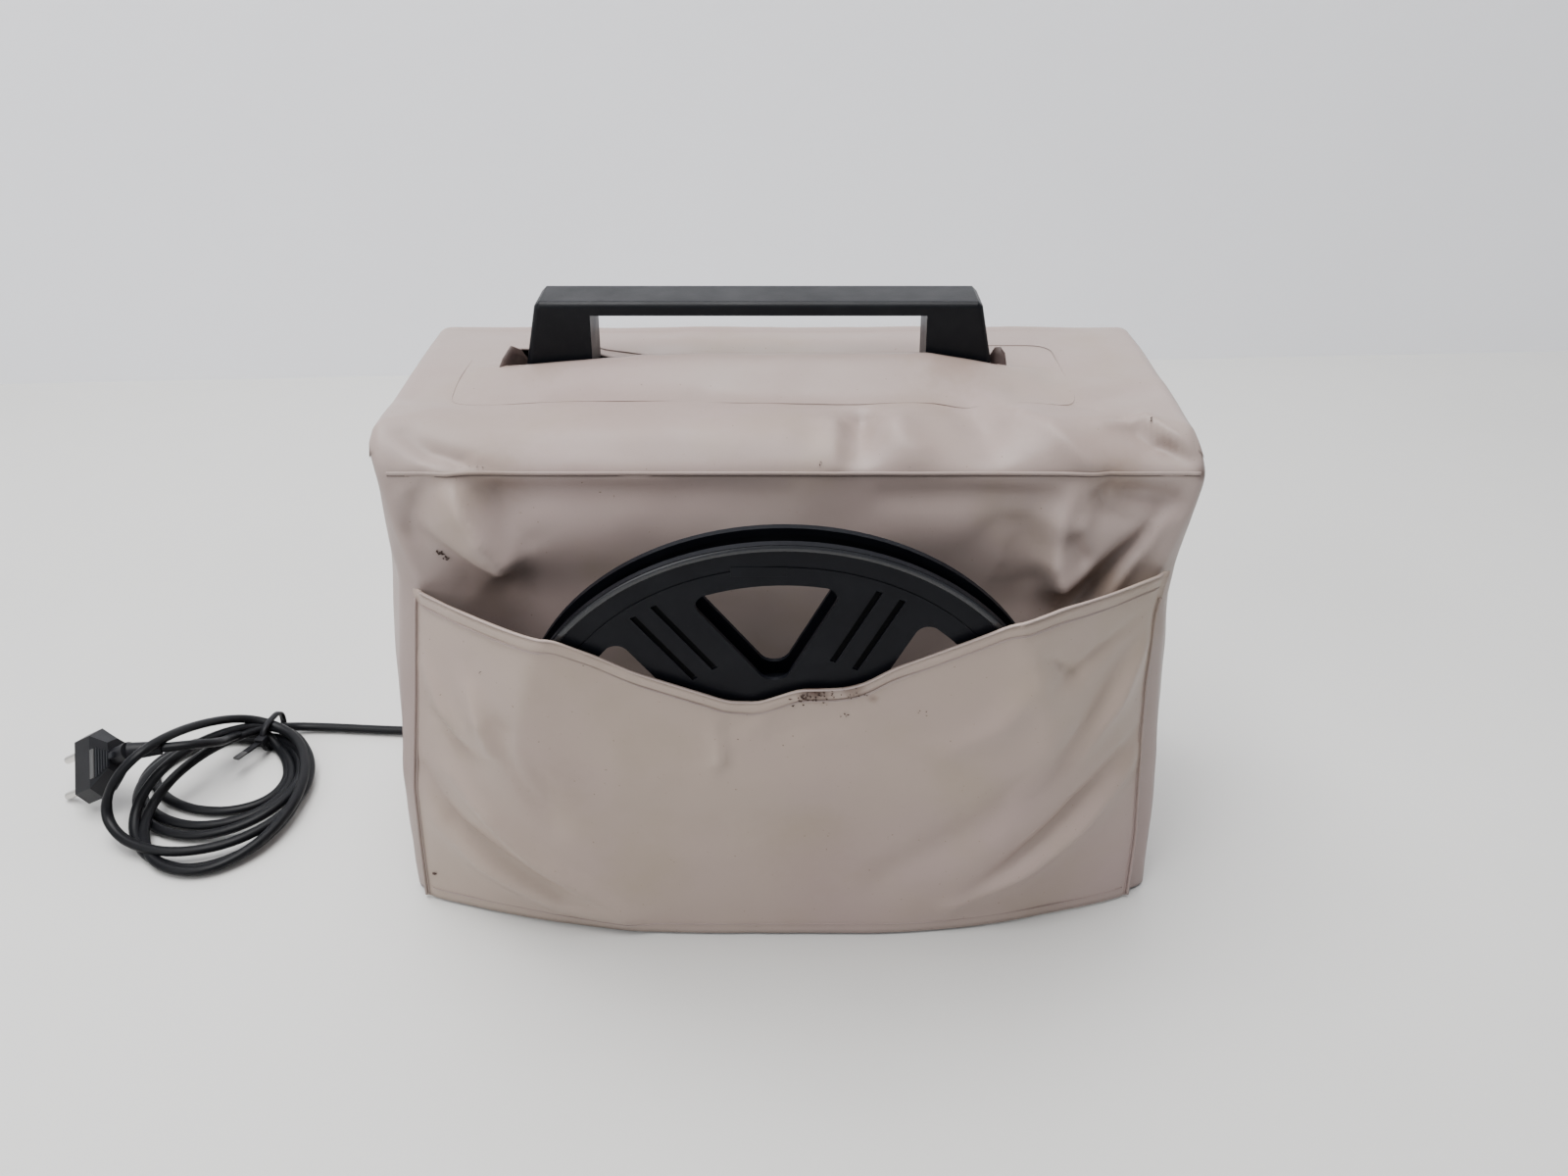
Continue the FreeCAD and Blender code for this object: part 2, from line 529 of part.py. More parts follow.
def knob(x, z, r, depth, flutes, axle_r, axle_in):
    y1 = BODY_FRONT - 0.5
    body = rod_y(r, x, y1 - depth, y1, z)
    body = body.makeChamfer(0.8, [e for e in body.Edges if e.Length > 3 * r and e.CenterOfMass.y < y1 - 1])
    for k in range(flutes):
        angle = 2 * math.pi * k / flutes
        body = body.cut(rod_y(0.9, x + (r + 0.3) * math.cos(angle), y1 - depth - 1, y1 - 1.5,
                              z + (r + 0.3) * math.sin(angle)))
    mark = box(x - 0.6, x + 0.6, y1 - depth - 1, y1 - depth + 0.5, z + 0.3 * r, z + 0.85 * r)
    return body.cut(mark).fuse(rod_y(axle_r, x, y1 - 0.5, y1 + axle_in, z))


def build_controls():
    save(knob(95, 60, 18.0, 10.5, 24, 4.0, 14.0), "selector_knob")
    save(knob(-20, 60, 8.0, 9.0, 14, 3.0, 12.0), "framing_knob")
    save(knob(40, 60, 8.0, 9.0, 14, 3.0, 12.0), "volume_knob")
    focus = knob(-118, FOCUS_Z, 8.0, 9.0, 14, 3.0, PATH_Y - BODY_FRONT + 4.0)
    save(focus.cut(tube_y(9.0, 2.4, -118, BODY_FRONT + 6, PATH_Y - 4.0, FOCUS_Z)), "focus_knob")
    for name, x in (("lamp_button", 62), ("motor_button", 84)):
        cap = rod_y(5.0, x, BODY_FRONT - 5.0, BODY_FRONT + 6.0, 110)
        save(cap.fuse(rod_y(6.5, x, BODY_FRONT + WALL + 0.4, BODY_FRONT + WALL + 1.9, 110)), name)


# ---------------------------------------------------------------- electrics
def build_electrics():
    y0 = CHASSIS_Y + PLATE_T
    core = box(64, 124, y0 + 4, y0 + 44, 9, 61)
    core = core.cut(box(76, 86, y0, y0 + 60, 19, 51)).cut(box(102, 112, y0, y0 + 60, 19, 51))
    save(core, "transformer_core")
    coil = box(77, 111, y0 + 1, y0 + 47, 20, 50)
    save(coil.cut(box(85.8, 102.2, y0, y0 + 60, 10, 60)).cut(core), "transformer_coil")
    save(box(-70, 40, y0 + 6, y0 + 7.6, 12, 62), "amplifier_board")
    cone = Part.makeCone(12.0, 34.0, 16.0, V(-60, BODY_REAR - WALL - 20, 110), Y_AXIS)
    rim = rod_y(36.0, -60, BODY_REAR - WALL - 4, BODY_REAR - WALL, 110)
    magnet = rod_y(17.0, -60, BODY_REAR - WALL - 30, BODY_REAR - WALL - 19, 110)
    save(fuse([cone, rim, magnet]), "loudspeaker")


# ---------------------------------------------------------------- mains lead
def tangent_path(points):
    """Straight runs joined by arcs; each arc's radius is 0.45 of its shorter run over tan(turn / 2)."""
    edges = []
    radii = []
    here = points[0]
    for before, corner, after in zip(points, points[1:], points[2:]):
        u = (corner - before).normalize()
        w = (after - corner).normalize()
        turn = math.acos(max(-1.0, min(1.0, u.dot(w))))
        cut = 0.45 * min((corner - before).Length, (after - corner).Length)
        radius = cut / math.tan(turn / 2)
        start = corner - u * cut
        end = corner + w * cut
        middle_way = (w - u).normalize()
        centre = corner + middle_way * (radius / math.cos(turn / 2))
        middle = centre - middle_way * radius
        edges.append(Part.LineSegment(here, start).toShape())
        edges.append(Part.Arc(start, middle, end).toShape())
        radii.append(round(radius, 1))
        here = end
    edges.append(Part.LineSegment(here, points[-1]).toShape())
    return Part.Wire(edges), radii


def sweep(path, r):
    start = path.Edges[0]
    direction = start.tangentAt(start.FirstParameter)
    ring = Part.Wire([Part.makeCircle(r, start.valueAt(start.FirstParameter), direction)])
    return path.makePipeShell([ring], True, False)


def tilted_ellipse(cx, cy, long_half, short_half, degrees, height):
    ellipse = Part.Ellipse(V(0, 0, 0), long_half, short_half).toShape()
    block = Part.Face(Part.Wire([ellipse])).extrude(V(0, 0, height))
    block.rotate(V(0, 0, 0), Z_AXIS, degrees)
    block.translate(V(cx, cy, 0))
    return block


def place_plug(shape):
    """From the plug's own frame (pins along +X, wide side along Z) to where it leans on the table."""
    pins = V(-0.814, 0.273, -0.512)
    wide = V(-0.177, 0.723, 0.668)
    shape.Placement = FreeCAD.Placement(V(-347.5, FRONT + 71.7, 17.9),
                                        FreeCAD.Rotation(pins, V(0, 0, 0), wide, "XZY"))
    return shape


def hexagon(x, half_w, face_half, half_t):
    """Six-sided outline across the plug, pointed at both ends of its wide side."""
    points = [V(x, 0, half_w), V(x, half_t, face_half), V(x, half_t, -face_half), V(x, 0, -half_w),
              V(x, -half_t, -face_half), V(x, -half_t, face_half)]
    return Part.makePolygon(points + points[:1])


def build_lead():
    relief_end = V(-141.0, LEAD_Y, 9.0)
    relief = Part.makeCone(5.2, 3.5, 24.0, V(-117, LEAD_Y, 11.0), V(-24, 0, -2.0))
    anchor = box(-117.5, -110, LEAD_Y - 7, LEAD_Y + 5, BODY_BASE + 3, 22)
    save(anchor.fuse(relief).removeSplitter(), "cord_anchor")
    route = [relief_end, V(-156, LEAD_Y + 0.3, 6.5), V(-178, LEAD_Y + 2.0, 3.4),
             V(-212, LEAD_Y + 4.2, 2.8), V(-244, LEAD_Y + 6.9, 2.8), V(-266, LEAD_Y + 7.2, 3.4)]
    path, radii = tangent_path(route)
    lead = sweep(path, LEAD_D / 2)
    section = math.pi * (LEAD_D / 2) ** 2
    print("lead radii", radii, "volume ratio", round(lead.Volume / (section * path.Length), 4),
          "length", round(path.Length, 1))
    save(lead, "mains_lead")
    middle_x, middle_y = -290.0, FRONT + 73.0
    outer = tilted_ellipse(middle_x, middle_y, 66, 50, -66.6, 14.0)
    inner = tilted_ellipse(middle_x + 3, middle_y + 7, 43, 32, -66.6, 30.0)
    inner.translate(V(0, 0, -5))
    coil = outer.cut(inner)
    save(coil, "lead_coil")
    tie = box(-10, 10, -1.3, 1.3, -1, 15).cut(box(-8.6, 8.6, -2, 2, 0, 13.6))
    tie = tie.fuse(box(-14, -8.6, -2.4, 2.4, 6, 11)).fuse(box(-28, -13.5, -1.3, 1.3, 8, 9.2))
    tie.rotate(V(0, 0, 0), Z_AXIS, 70)
    tie.translate(V(-272, FRONT + 124, 1.1))
    save(tie.removeSplitter(), "lead_tie")
    front_face = hexagon(0, PLUG_HALF_W, PLUG_FACE_HALF, PLUG_HALF_T)
    shoulder = hexagon(-PLUG_STRAIGHT, PLUG_HALF_W, PLUG_FACE_HALF, PLUG_HALF_T)
    back = hexagon(-PLUG_STRAIGHT - 13, 9, 6.5, 5.2)
    front_block = Part.Face(front_face).extrude(V(-PLUG_STRAIGHT, 0, 0))
    neck = Part.makeLoft([shoulder, back], True, True)
    stem = Part.makeCylinder(4.6, 10.5, V(-36, 0, 0), X_AXIS)
    strain = Part.makeCone(4.4, 3.3, 15.0, V(-35, 0, 0), V(-0.72, -0.69, -0.02))
    body = fuse([front_block, neck, stem, strain])
    sockets = []
    pins = []
    for z in (-PIN_PITCH / 2, PIN_PITCH / 2):
        pin = Part.makeCylinder(PIN_R, PIN_L + 6, V(-6, 0, z), X_AXIS)
        tip = pin.Edges[0] if pin.Edges[0].CenterOfMass.x > 10 else pin.Edges[2]
        pins.append(pin.makeFillet(0.9, [tip]))
        sockets.append(Part.makeCylinder(PIN_R, 6, V(-6, 0, z), X_AXIS))
    body = body.cut(Part.makeCompound(sockets))
    save(place_plug(body), "plug_body")
    save(place_plug(Part.makeCompound(pins)), "plug_pins")


os.makedirs("parts", exist_ok=True)
build_cover()
build_pocket()
build_reel()
build_handle()
build_housings()
build_optics()
build_drive()
build_arms()
build_controls()
build_electrics()
build_lead()
print(len(saved), "sub-parts")
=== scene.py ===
"""Looks of a cine film projector standing in its vinyl dust cover, with a reel in the pocket.

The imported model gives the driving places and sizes. Lengths are in millimetres until a mesh is made.
"""

import itertools
import json
import math

import bpy
import numpy as np
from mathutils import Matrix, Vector, noise


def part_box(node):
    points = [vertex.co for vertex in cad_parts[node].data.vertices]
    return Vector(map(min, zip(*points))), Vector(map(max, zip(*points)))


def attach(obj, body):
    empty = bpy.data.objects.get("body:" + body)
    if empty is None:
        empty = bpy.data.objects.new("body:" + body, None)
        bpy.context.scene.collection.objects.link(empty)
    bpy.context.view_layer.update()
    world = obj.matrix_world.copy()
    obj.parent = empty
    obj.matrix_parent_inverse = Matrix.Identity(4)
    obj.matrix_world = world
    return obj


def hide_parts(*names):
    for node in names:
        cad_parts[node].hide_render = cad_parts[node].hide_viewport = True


MM = 0.001
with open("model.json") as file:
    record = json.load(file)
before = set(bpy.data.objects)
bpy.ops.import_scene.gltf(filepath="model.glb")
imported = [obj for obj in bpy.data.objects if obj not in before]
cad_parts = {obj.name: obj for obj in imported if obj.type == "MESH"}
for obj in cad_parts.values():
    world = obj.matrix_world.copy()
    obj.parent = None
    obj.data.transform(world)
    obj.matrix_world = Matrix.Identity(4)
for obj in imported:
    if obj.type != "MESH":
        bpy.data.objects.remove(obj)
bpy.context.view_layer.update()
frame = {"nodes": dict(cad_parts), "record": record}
nodes = frame["nodes"]


def low(node, axis):
    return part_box(node)[0][axis] / MM


def high(node, axis):
    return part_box(node)[1][axis] / MM


def middle(node, axis):
    return (high(node, axis) + low(node, axis)) / 2


# ---- sizes taken from the frame ----
FRONT = low("cover_front_panel", 1)
REAR = high("cover_rear_panel", 1)
HEM = low("cover_front_panel", 2)
SEAM = high("cover_front_panel", 2)
TOP = high("cover_top_panel", 2)
HALF = high("cover_right_panel", 0)
REEL_R = (high("reel_front_flange", 0) - low("reel_front_flange", 0)) / 2
REEL_Z = middle("reel_front_flange", 2)
REEL_PHASE = 4.7        # degrees, turn of the window pattern
REEL_LEAN = 10.5        # degrees, the rim leans out over the pocket
RIM_HALF = 1.15         # half the thickness of the front flange's rim
HANDLE_X = middle("handle", 0)
HANDLE_Y = middle("handle", 1)

# ---- sizes of the cover's sheet ----
STEP = 2.0              # spacing of the cover's mesh
SHEET_T = 0.8
SIDE_ROUND = 6.0        # rounding where the side panels meet the rest
REAR_ROUND = 12.0
RISE = TOP - SEAM       # the top panel's front drops this far to its seam
SLOT_X = (HANDLE_X - 105.0, HANDLE_X + 100.0)
SLOT_Y = (HANDLE_Y - 16.0, HANDLE_Y + 16.0)
EDGE_SOFT = 7.0         # the edge seams' outlines are softened over this height
DRAW_DEPTH = 62.0       # the edge seams' pull on the sides dies away over this depth
STEADY_HALF = 108.0     # inside this half width the sheet isn't drawn in
FOLD_DEPTH = 13.0       # the folds die away this far into the side panels
NO_FOLDS_V = 400.0      # a run over the front edge that is past every crease
POCKET_GAP = 0.9        # from the front to the pocket, along the pocket's edges
MOUTH_Z = 150.0         # height at which the mouth's width is taken
PATCH_X = (HANDLE_X - 124.0, HANDLE_X + 128.0)
PATCH_V = (RISE + 36.0, RISE + 104.0)
PATCH_ROUND = 9.0       # the slot patch's corners

# ---- the camera ----
EYE = np.array([0.0, FRONT - 460.4, 420.3])
PITCH = 29.3            # degrees below level
LENS = 30.375


# ---- small tools ----
def ease(t):
    t = np.clip(t, 0.0, 1.0)
    return t * t * (3.0 - 2.0 * t)


def bump(distance, width):
    return np.exp(-(distance / width) ** 2)


def along(value, knots, soft=0.0):
    """Height of a profile drawn through the knots at value, with its corners softened over soft."""
    places, heights = zip(*knots)
    shifts = np.linspace(-1.0, 1.0, 9)
    shares = 1.0 - 0.9 * np.abs(shifts)
    total = 0.0
    for shift, share in zip(shifts, shares):
        total = total + share * np.interp(value + shift * soft, places, heights)
    return total / shares.sum()


def fold(u, v, path, heights, left, right, power=1.6):
    """Raised (or sunk) crease along a path, with its own width on the left and the right of it."""
    nearest = np.full(np.shape(u), 1e9)
    result = np.zeros(np.shape(u))
    levels = np.linspace(0, len(heights) - 1, len(path))
    rises = np.interp(levels, range(len(heights)), heights)
    last = len(path) - 2
    for k in range(last + 1):
        (pu, pv), (qu, qv) = path[k], path[k + 1]
        run_u, run_v = qu - pu, qv - pv
        length = math.hypot(run_u, run_v)
        free = ((u - pu) * run_u + (v - pv) * run_v) / length ** 2
        t = np.clip(free, 0.0, 1.0)
        off_u, off_v = u - pu - t * run_u, v - pv - t * run_v
        distance = np.hypot(off_u, off_v)
        across = run_u * off_v - run_v * off_u
        width = np.where(across > 0, left, right)
        # past either end the crease dies away over its narrower width
        beyond = ((free < 0) & (k == 0)) | ((free > 1) & (k == last))
        along_run = (free - t) * length / min(left, right)
        scaled = np.where(beyond, np.hypot(across / length / width, along_run), distance / width)
        height = rises[k] + (rises[k + 1] - rises[k]) * t
        result = np.where(distance < nearest, height * np.exp(-scaled ** power), result)
        nearest = np.minimum(nearest, distance)
    return result


def folds(u, v, rows):
    total = 0.0
    for path, heights, left, right, power in rows:
        total = total + fold(u, v, path, heights, left, right, power)
    return total


def noise_field(points, size, seed):
    """Smooth noise between -1 and 1, with features of the given size."""
    shift = Vector((seed * 17.3, seed * 5.1, seed * 9.7))
    return np.array([noise.noise(Vector(p) / size + shift) for p in points])


def mesh_object(name, points, faces, material, smooth=True, body=None):
    """Mesh from millimetre points, in the collection, with one named material, riding a body if given."""
    mesh = bpy.data.meshes.new(name)
    mesh.from_pydata((np.asarray(points, float) * MM).tolist(), [], faces)
    mesh.validate()
    mesh.polygons.foreach_set("use_smooth", [smooth] * len(mesh.polygons))
    mesh.materials.append(materials[material])
    thing = bpy.data.objects.new(name, mesh)
    bpy.context.scene.collection.objects.link(thing)
    if body:
        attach(thing, body)
    return thing


def grid_faces(rows, columns):
    faces = []
    for r in range(rows - 1):
        for c in range(columns - 1):
            a = r * columns + c
            faces.append((a, a + 1, a + columns + 1, a + columns))
    return faces


def thicken(thing, thickness, offset=-1.0):
    solid = thing.modifiers.new("thickness", "SOLIDIFY")
    solid.thickness = thickness * MM
    solid.offset = offset


def ribbon(name, points, normals, width, height, material, body, sink=0.1):
    """Thin raised strip along points on a surface: a weld line, a seam's lip or a hem's edge."""
    points = np.asarray(points, float)
    normals = np.asarray(normals, float)
    runs = np.gradient(points, axis=0)
    sides = np.cross(runs, normals)
    sides /= np.linalg.norm(sides, axis=1)[:, None]
    ring = []
    for side, rise in ((-0.5, -sink), (-0.38, 1.0), (0.38, 1.0), (0.5, -sink)):
        lift = height * rise if rise > 0 else rise
        ring.append(points + sides * width * side + normals * lift)
    count = len(points)
    verts = np.concatenate(ring)
    faces = []
    for k in range(count - 1):
        for r in range(4):
            a, b = r * count + k, ((r + 1) % 4) * count + k
            faces.append((a, a + 1, b + 1, b))
    faces.append((0, count, 2 * count, 3 * count))
    faces.append((4 * count - 1, 3 * count - 1, 2 * count - 1, count - 1))
    return mesh_object(name, verts, faces, material, body=body)


def tube(name, points, radius, material, body, sides=12, flat=1.0, cap=True):
    """Tube along points. flat lowers it, keeping its width."""
    points = np.asarray(points, float)
    runs = np.gradient(points, axis=0)
    runs /= np.linalg.norm(runs, axis=1)[:, None]
    radii = np.broadcast_to(radius, (len(points),))
    verts = []
    for p, t, r in zip(points, runs, radii):
        up = np.array([0.0, 0.0, 1.0]) - t * t[2]
        if np.linalg.norm(up) < 0.2:
            up = np.array([0.0, 1.0, 0.0]) - t * t[1]
        up /= np.linalg.norm(up)
        side = np.cross(t, up)
        for k in range(sides):
            angle = 2 * math.pi * k / sides
            c, s = math.cos(angle), math.sin(angle)
            verts.append(p + r * (c * side + flat * s * up))
    faces = []
    for k in range(len(points) - 1):
        for j in range(sides):
            a, b = k * sides + j, k * sides + (j + 1) % sides
            faces.append((a, b, b + sides, a + sides))
    if cap:
        faces.append(tuple(range(sides))[::-1])
        faces.append(tuple(range(len(verts) - sides, len(verts))))
    return mesh_object(name, verts, faces, material, body=body)


# ---- materials ----
def fill(node, values):
    for socket, value in values.items():
        node.inputs[socket].default_value = value


class Shader:
    """A principled material whose colour, roughness and relief vary by procedural noise."""

    def __init__(self, name, colour, roughness, metallic=0.0, specular=0.5):
        self.material = bpy.data.materials.new(name)
        self.material.use_nodes = True
        self.tree = self.material.node_tree
        self.shader = self.tree.nodes["Principled BSDF"]
        fill(self.shader, {"Base Color": (*colour, 1.0), "Roughness": roughness, "Metallic": metallic,
                           "Specular IOR Level": specular})
        self.place = self.tree.nodes.new("ShaderNodeTexCoord").outputs["Object"]
        self.colour = colour
        self.tint = None
        self.relief = None

    def node(self, kind, **settings):
        made = self.tree.nodes.new("ShaderNode" + kind)
        for key, value in settings.items():
            setattr(made, key, value)
        return made

    def link(self, a, b):
        self.tree.links.new(a, b)

    def noise(self, scale, detail=3.0):
        texture = self.node("TexNoise")
        fill(texture, {"Scale": scale, "Detail": detail})
        self.link(self.place, texture.inputs["Vector"])
        return texture.outputs["Fac"]

    def ramp(self, value, start, end, lowest=0.0, highest=1.0, **settings):
        """From lowest, where value is at start, to highest at end."""
        scaled = self.node("MapRange", **settings)
        fill(scaled, {"From Min": start, "From Max": end, "To Min": lowest, "To Max": highest})
        self.link(value, scaled.inputs["Value"])
        return scaled.outputs["Result"]

    def blend_to(self, factor, colour):
        """Lay colour over what is there, where factor is 1."""
        mix = self.node("Mix", data_type="RGBA")
        self.link(factor, mix.inputs["Factor"])
        if self.tint is None:
            mix.inputs[6].default_value = (*self.colour, 1.0)
        else:
            self.link(self.tint, mix.inputs[6])
        mix.inputs[7].default_value = (*colour, 1.0)
        self.tint = mix.outputs[2]
        self.link(self.tint, self.shader.inputs["Base Color"])
        return self

    def mottle(self, scale, colour, start=0.45, end=0.75, detail=4.0):
        return self.blend_to(self.ramp(self.noise(scale, detail), start, end), colour)

    def stain_and_shade_patch(self, centre, radius, colour, strength, ragged=0.5):
        """A patch of the given colour round a point in millimetres, with a ragged edge; it serves for real
        stains and for painted shade.
        """
        away = self.node("VectorMath", operation="DISTANCE")
        self.link(self.place, away.inputs[0])
        away.inputs[1].default_value = [c * MM for c in centre]
        rough = self.node("Math", operation="MULTIPLY_ADD")
        self.link(self.noise(260.0, 5.0), rough.inputs[0])
        rough.inputs[1].default_value = radius * MM * ragged
        self.link(away.outputs["Value"], rough.inputs[2])
        outer, inner = radius * MM * (1.0 + 0.5 * ragged), radius * MM * 0.5 * ragged
        near = self.ramp(rough.outputs["Value"], outer, inner, highest=strength,
                         interpolation_type="SMOOTHSTEP")
        return self.blend_to(near, colour)

    def vary_roughness(self, scale, lowest, highest):
        spread = self.ramp(self.noise(scale), 0.3, 0.7, lowest, highest)
        self.link(spread, self.shader.inputs["Roughness"])
        return self

    def grain(self, scale, depth):
        """Fine relief, depth in millimetres."""
        bumped = self.node("Bump")
        bumped.inputs["Distance"].default_value = depth * MM
        self.link(self.noise(scale, 2.0), bumped.inputs["Height"])
        if self.relief is not None:
            self.link(self.relief, bumped.inputs["Normal"])
        self.relief = bumped.outputs["Normal"]
        self.link(self.relief, self.shader.inputs["Normal"])
        return self


def darker(colour, share):
    return tuple(c * share for c in colour)


VINYL_COLOUR = (0.330, 0.265, 0.242)
VINYL_BROWN = (0.215, 0.155, 0.115)
VINYL_PINK = (0.345, 0.262, 0.245)
VINYL_TAN = (0.300, 0.240, 0.185)
POCKET_COLOUR = (0.345, 0.275, 0.232)
FRAY_BROWN = (0.110, 0.065, 0.050)


def vinyl_shader(name, tint=1.0, colour=VINYL_COLOUR):
    shader = Shader(name, darker(colour, tint), 0.42, specular=0.30)
    shader.mottle(9.0, darker(VINYL_PINK, 0.95 * tint), 0.40, 0.75)
    shader.mottle(23.0, darker(VINYL_TAN, tint), 0.52, 0.95, 6.0)
    shader.mottle(700.0, darker(VINYL_BROWN, 0.7), 0.76, 0.84, 1.0)
    shader.vary_roughness(30.0, 0.36, 0.50)
    shader.grain(1400.0, 0.03)
    shader.grain(90.0, 0.12)
    return shader


def build_materials():
    made = {}
    cover = vinyl_shader("cover_vinyl")
    for x in (-110, -40, 30, 100):
        cover.stain_and_shade_patch((x, FRONT + 70, TOP), 60, VINYL_BROWN, 0.14, 0.3)
    cover.stain_and_shade_patch((70, SLOT_Y[0] - 6, TOP + 3), 26, VINYL_BROWN, 0.45)
    cover.stain_and_shade_patch((-100, SLOT_Y[0] - 6, TOP + 2), 14, VINYL_BROWN, 0.35)
    cover.stain_and_shade_patch((-112, FRONT, SEAM + 4), 22, VINYL_BROWN, 0.40)
    cover.stain_and_shade_patch((128, FRONT, SEAM - 2), 16, VINYL_BROWN, 0.50)
    cover.stain_and_shade_patch((147, FRONT + 8, SEAM + 9), 7, FRAY_BROWN, 0.40)
    cover.stain_and_shade_patch((128, FRONT, 164), 16, VINYL_BROWN, 0.60)
    cover.stain_and_shade_patch((-116, FRONT, 160), 22, VINYL_BROWN, 0.35)
    cover.stain_and_shade_patch((HALF, FRONT + 2, SEAM), 4, FRAY_BROWN, 0.9)
    # painted shade: a row of darker patches along the brow, just above the seam, where the top turns down
    # to it
    for x in (-120, -60, 0, 60, 120):
        cover.stain_and_shade_patch((x, FRONT + 16, SEAM + 12), 46, VINYL_BROWN, 0.30, 0.3)
    made["cover_vinyl"] = cover
    pocket = vinyl_shader("pocket_vinyl", 1.08, POCKET_COLOUR)
    pocket.stain_and_shade_patch((12, FRONT - 41, 139), 8, FRAY_BROWN, 0.95, 0.9)
    pocket.stain_and_shade_patch((26, FRONT - 41, 141), 7, FRAY_BROWN, 0.55, 0.9)
    pocket.stain_and_shade_patch((34, FRONT - 40, 136), 3, FRAY_BROWN, 0.5, 0.9)
    pocket.stain_and_shade_patch((-95, FRONT - 30, 90), 26, VINYL_BROWN, 0.22)
    pocket.stain_and_shade_patch((10, FRONT - 30, 50), 40, VINYL_BROWN, 0.16)
    made["pocket_vinyl"] = pocket
    # painted shade: near-black vinyl for the slot's torn ends, where the slot's inside lies in shadow
    torn = Shader("slot_end_shade", (0.060, 0.038, 0.034), 0.55)
    made["slot_end_shade"] = torn.mottle(120.0, (0.110, 0.075, 0.065)).grain(700.0, 0.08)
    made["seam_shade"] = Shader("seam_shade", (0.115, 0.082, 0.072), 0.6).grain(900.0, 0.05)
    # painted shade: a slightly darker copy of the vinyl for the seams' shade strips and the weld lines
    made["weld_shade"] = vinyl_shader("weld_shade", 0.96)
    # painted highlight: a lighter copy of the vinyl for the mouth's top edge and the line below its weld
    made["vinyl_highlight"] = vinyl_shader("vinyl_highlight", 1.18)
    reel = Shader("reel_plastic", (0.0040, 0.0044, 0.0066), 0.34, specular=0.09)
    reel.mottle(60.0, (0.006, 0.0066, 0.009)).vary_roughness(45.0, 0.30, 0.42).grain(900.0, 0.02)
    made["reel_plastic"] = reel
    rim = Shader("reel_rim", (0.010, 0.011, 0.014), 0.26)
    made["reel_rim"] = rim.mottle(60.0, (0.014, 0.015, 0.018)).grain(900.0, 0.01)
    # painted shade: near-black for the floors of the reel's grooves
    groove = Shader("groove_shade", (0.0012, 0.0012, 0.0016), 0.7, specular=0.03)
    made["groove_shade"] = groove.mottle(60.0, (0.002, 0.002, 0.0025)).grain(900.0, 0.02)
    fray = Shader("fray", darker(FRAY_BROWN, 0.5), 0.7)
    made["fray"] = fray.mottle(300.0, FRAY_BROWN).grain(900.0, 0.05)
    handle = Shader("handle_plastic", (0.0025, 0.003, 0.0048), 0.42, specular=0.21)
    handle.mottle(80.0, (0.0045, 0.0052, 0.007)).vary_roughness(60.0, 0.38, 0.48).grain(1500.0, 0.05)
    made["handle_plastic"] = handle
    # colour, roughness and, for metals, how metallic
    plain = {
        "housing_plastic": ((0.085, 0.085, 0.090), 0.5),
        "black_plastic": ((0.010, 0.010, 0.012), 0.42),
        "red_plastic": ((0.45, 0.03, 0.02), 0.3),
        "grey_plastic": ((0.28, 0.28, 0.28), 0.35),
        "sheet_metal": ((0.55, 0.56, 0.57), 0.38, 1.0),
        "turned_steel": ((0.58, 0.58, 0.60), 0.24, 1.0),
        "cast_metal": ((0.20, 0.20, 0.22), 0.55, 0.7),
        "anodised": ((0.030, 0.030, 0.035), 0.32, 0.8),
        "worm_wheel_brass": ((0.70, 0.52, 0.26), 0.28, 1.0),
        "mirror": ((0.85, 0.87, 0.90), 0.06, 1.0),
        "rubber": ((0.022, 0.022, 0.022), 0.75),
        "copper": ((0.50, 0.22, 0.09), 0.35, 0.8),
        "board": ((0.03, 0.14, 0.06), 0.4),
        "speaker_paper": ((0.050, 0.045, 0.042), 0.8),
        "lead_pvc": ((0.0040, 0.0042, 0.0055), 0.40),
        "plug_pvc": ((0.014, 0.015, 0.018), 0.42),
        "tie_tail": ((0.055, 0.055, 0.055), 0.45),
        "pin_metal": ((0.62, 0.60, 0.57), 0.25, 1.0),
    }
    for name, (colour, roughness, *metallic) in plain.items():
        shader = Shader(name, colour, roughness, *metallic, specular=0.16 if max(colour) < 0.02 else 0.5)
        shader.mottle(70.0, darker(colour, 0.80))
        shader.vary_roughness(50.0, roughness * 0.88, min(1.0, roughness * 1.15))
        shader.grain(1100.0, 0.03)
        made[name] = shader
    glass = Shader("glass", (0.92, 0.96, 1.0), 0.03)
    fill(glass.shader, {"Transmission Weight": 0.9, "IOR": 1.5})
    glass.mottle(40.0, (0.88, 0.93, 0.98)).grain(300.0, 0.002)
    made["glass"] = glass
    floor = Shader("floor", (0.655, 0.65, 0.63), 0.45)
    made["floor"] = floor.mottle(3.0, (0.625, 0.62, 0.60)).vary_roughness(20.0, 0.40, 0.55)
    wall = Shader("wall", (0.925, 0.93, 0.965), 0.8)
    made["wall"] = wall.mottle(4.0, (0.905, 0.91, 0.945)).grain(60.0, 0.3)
    return {name: shader.material for name, shader in made.items()}


materials = build_materials()


def dress_cad_nodes():
    """Give every CAD node the material of its slot in the record."""
    for row in frame["record"]["subparts"]:
        mesh = nodes[row["node"]].data
        mesh.materials.clear()
        mesh.materials.append(materials[row["material_slot"]])


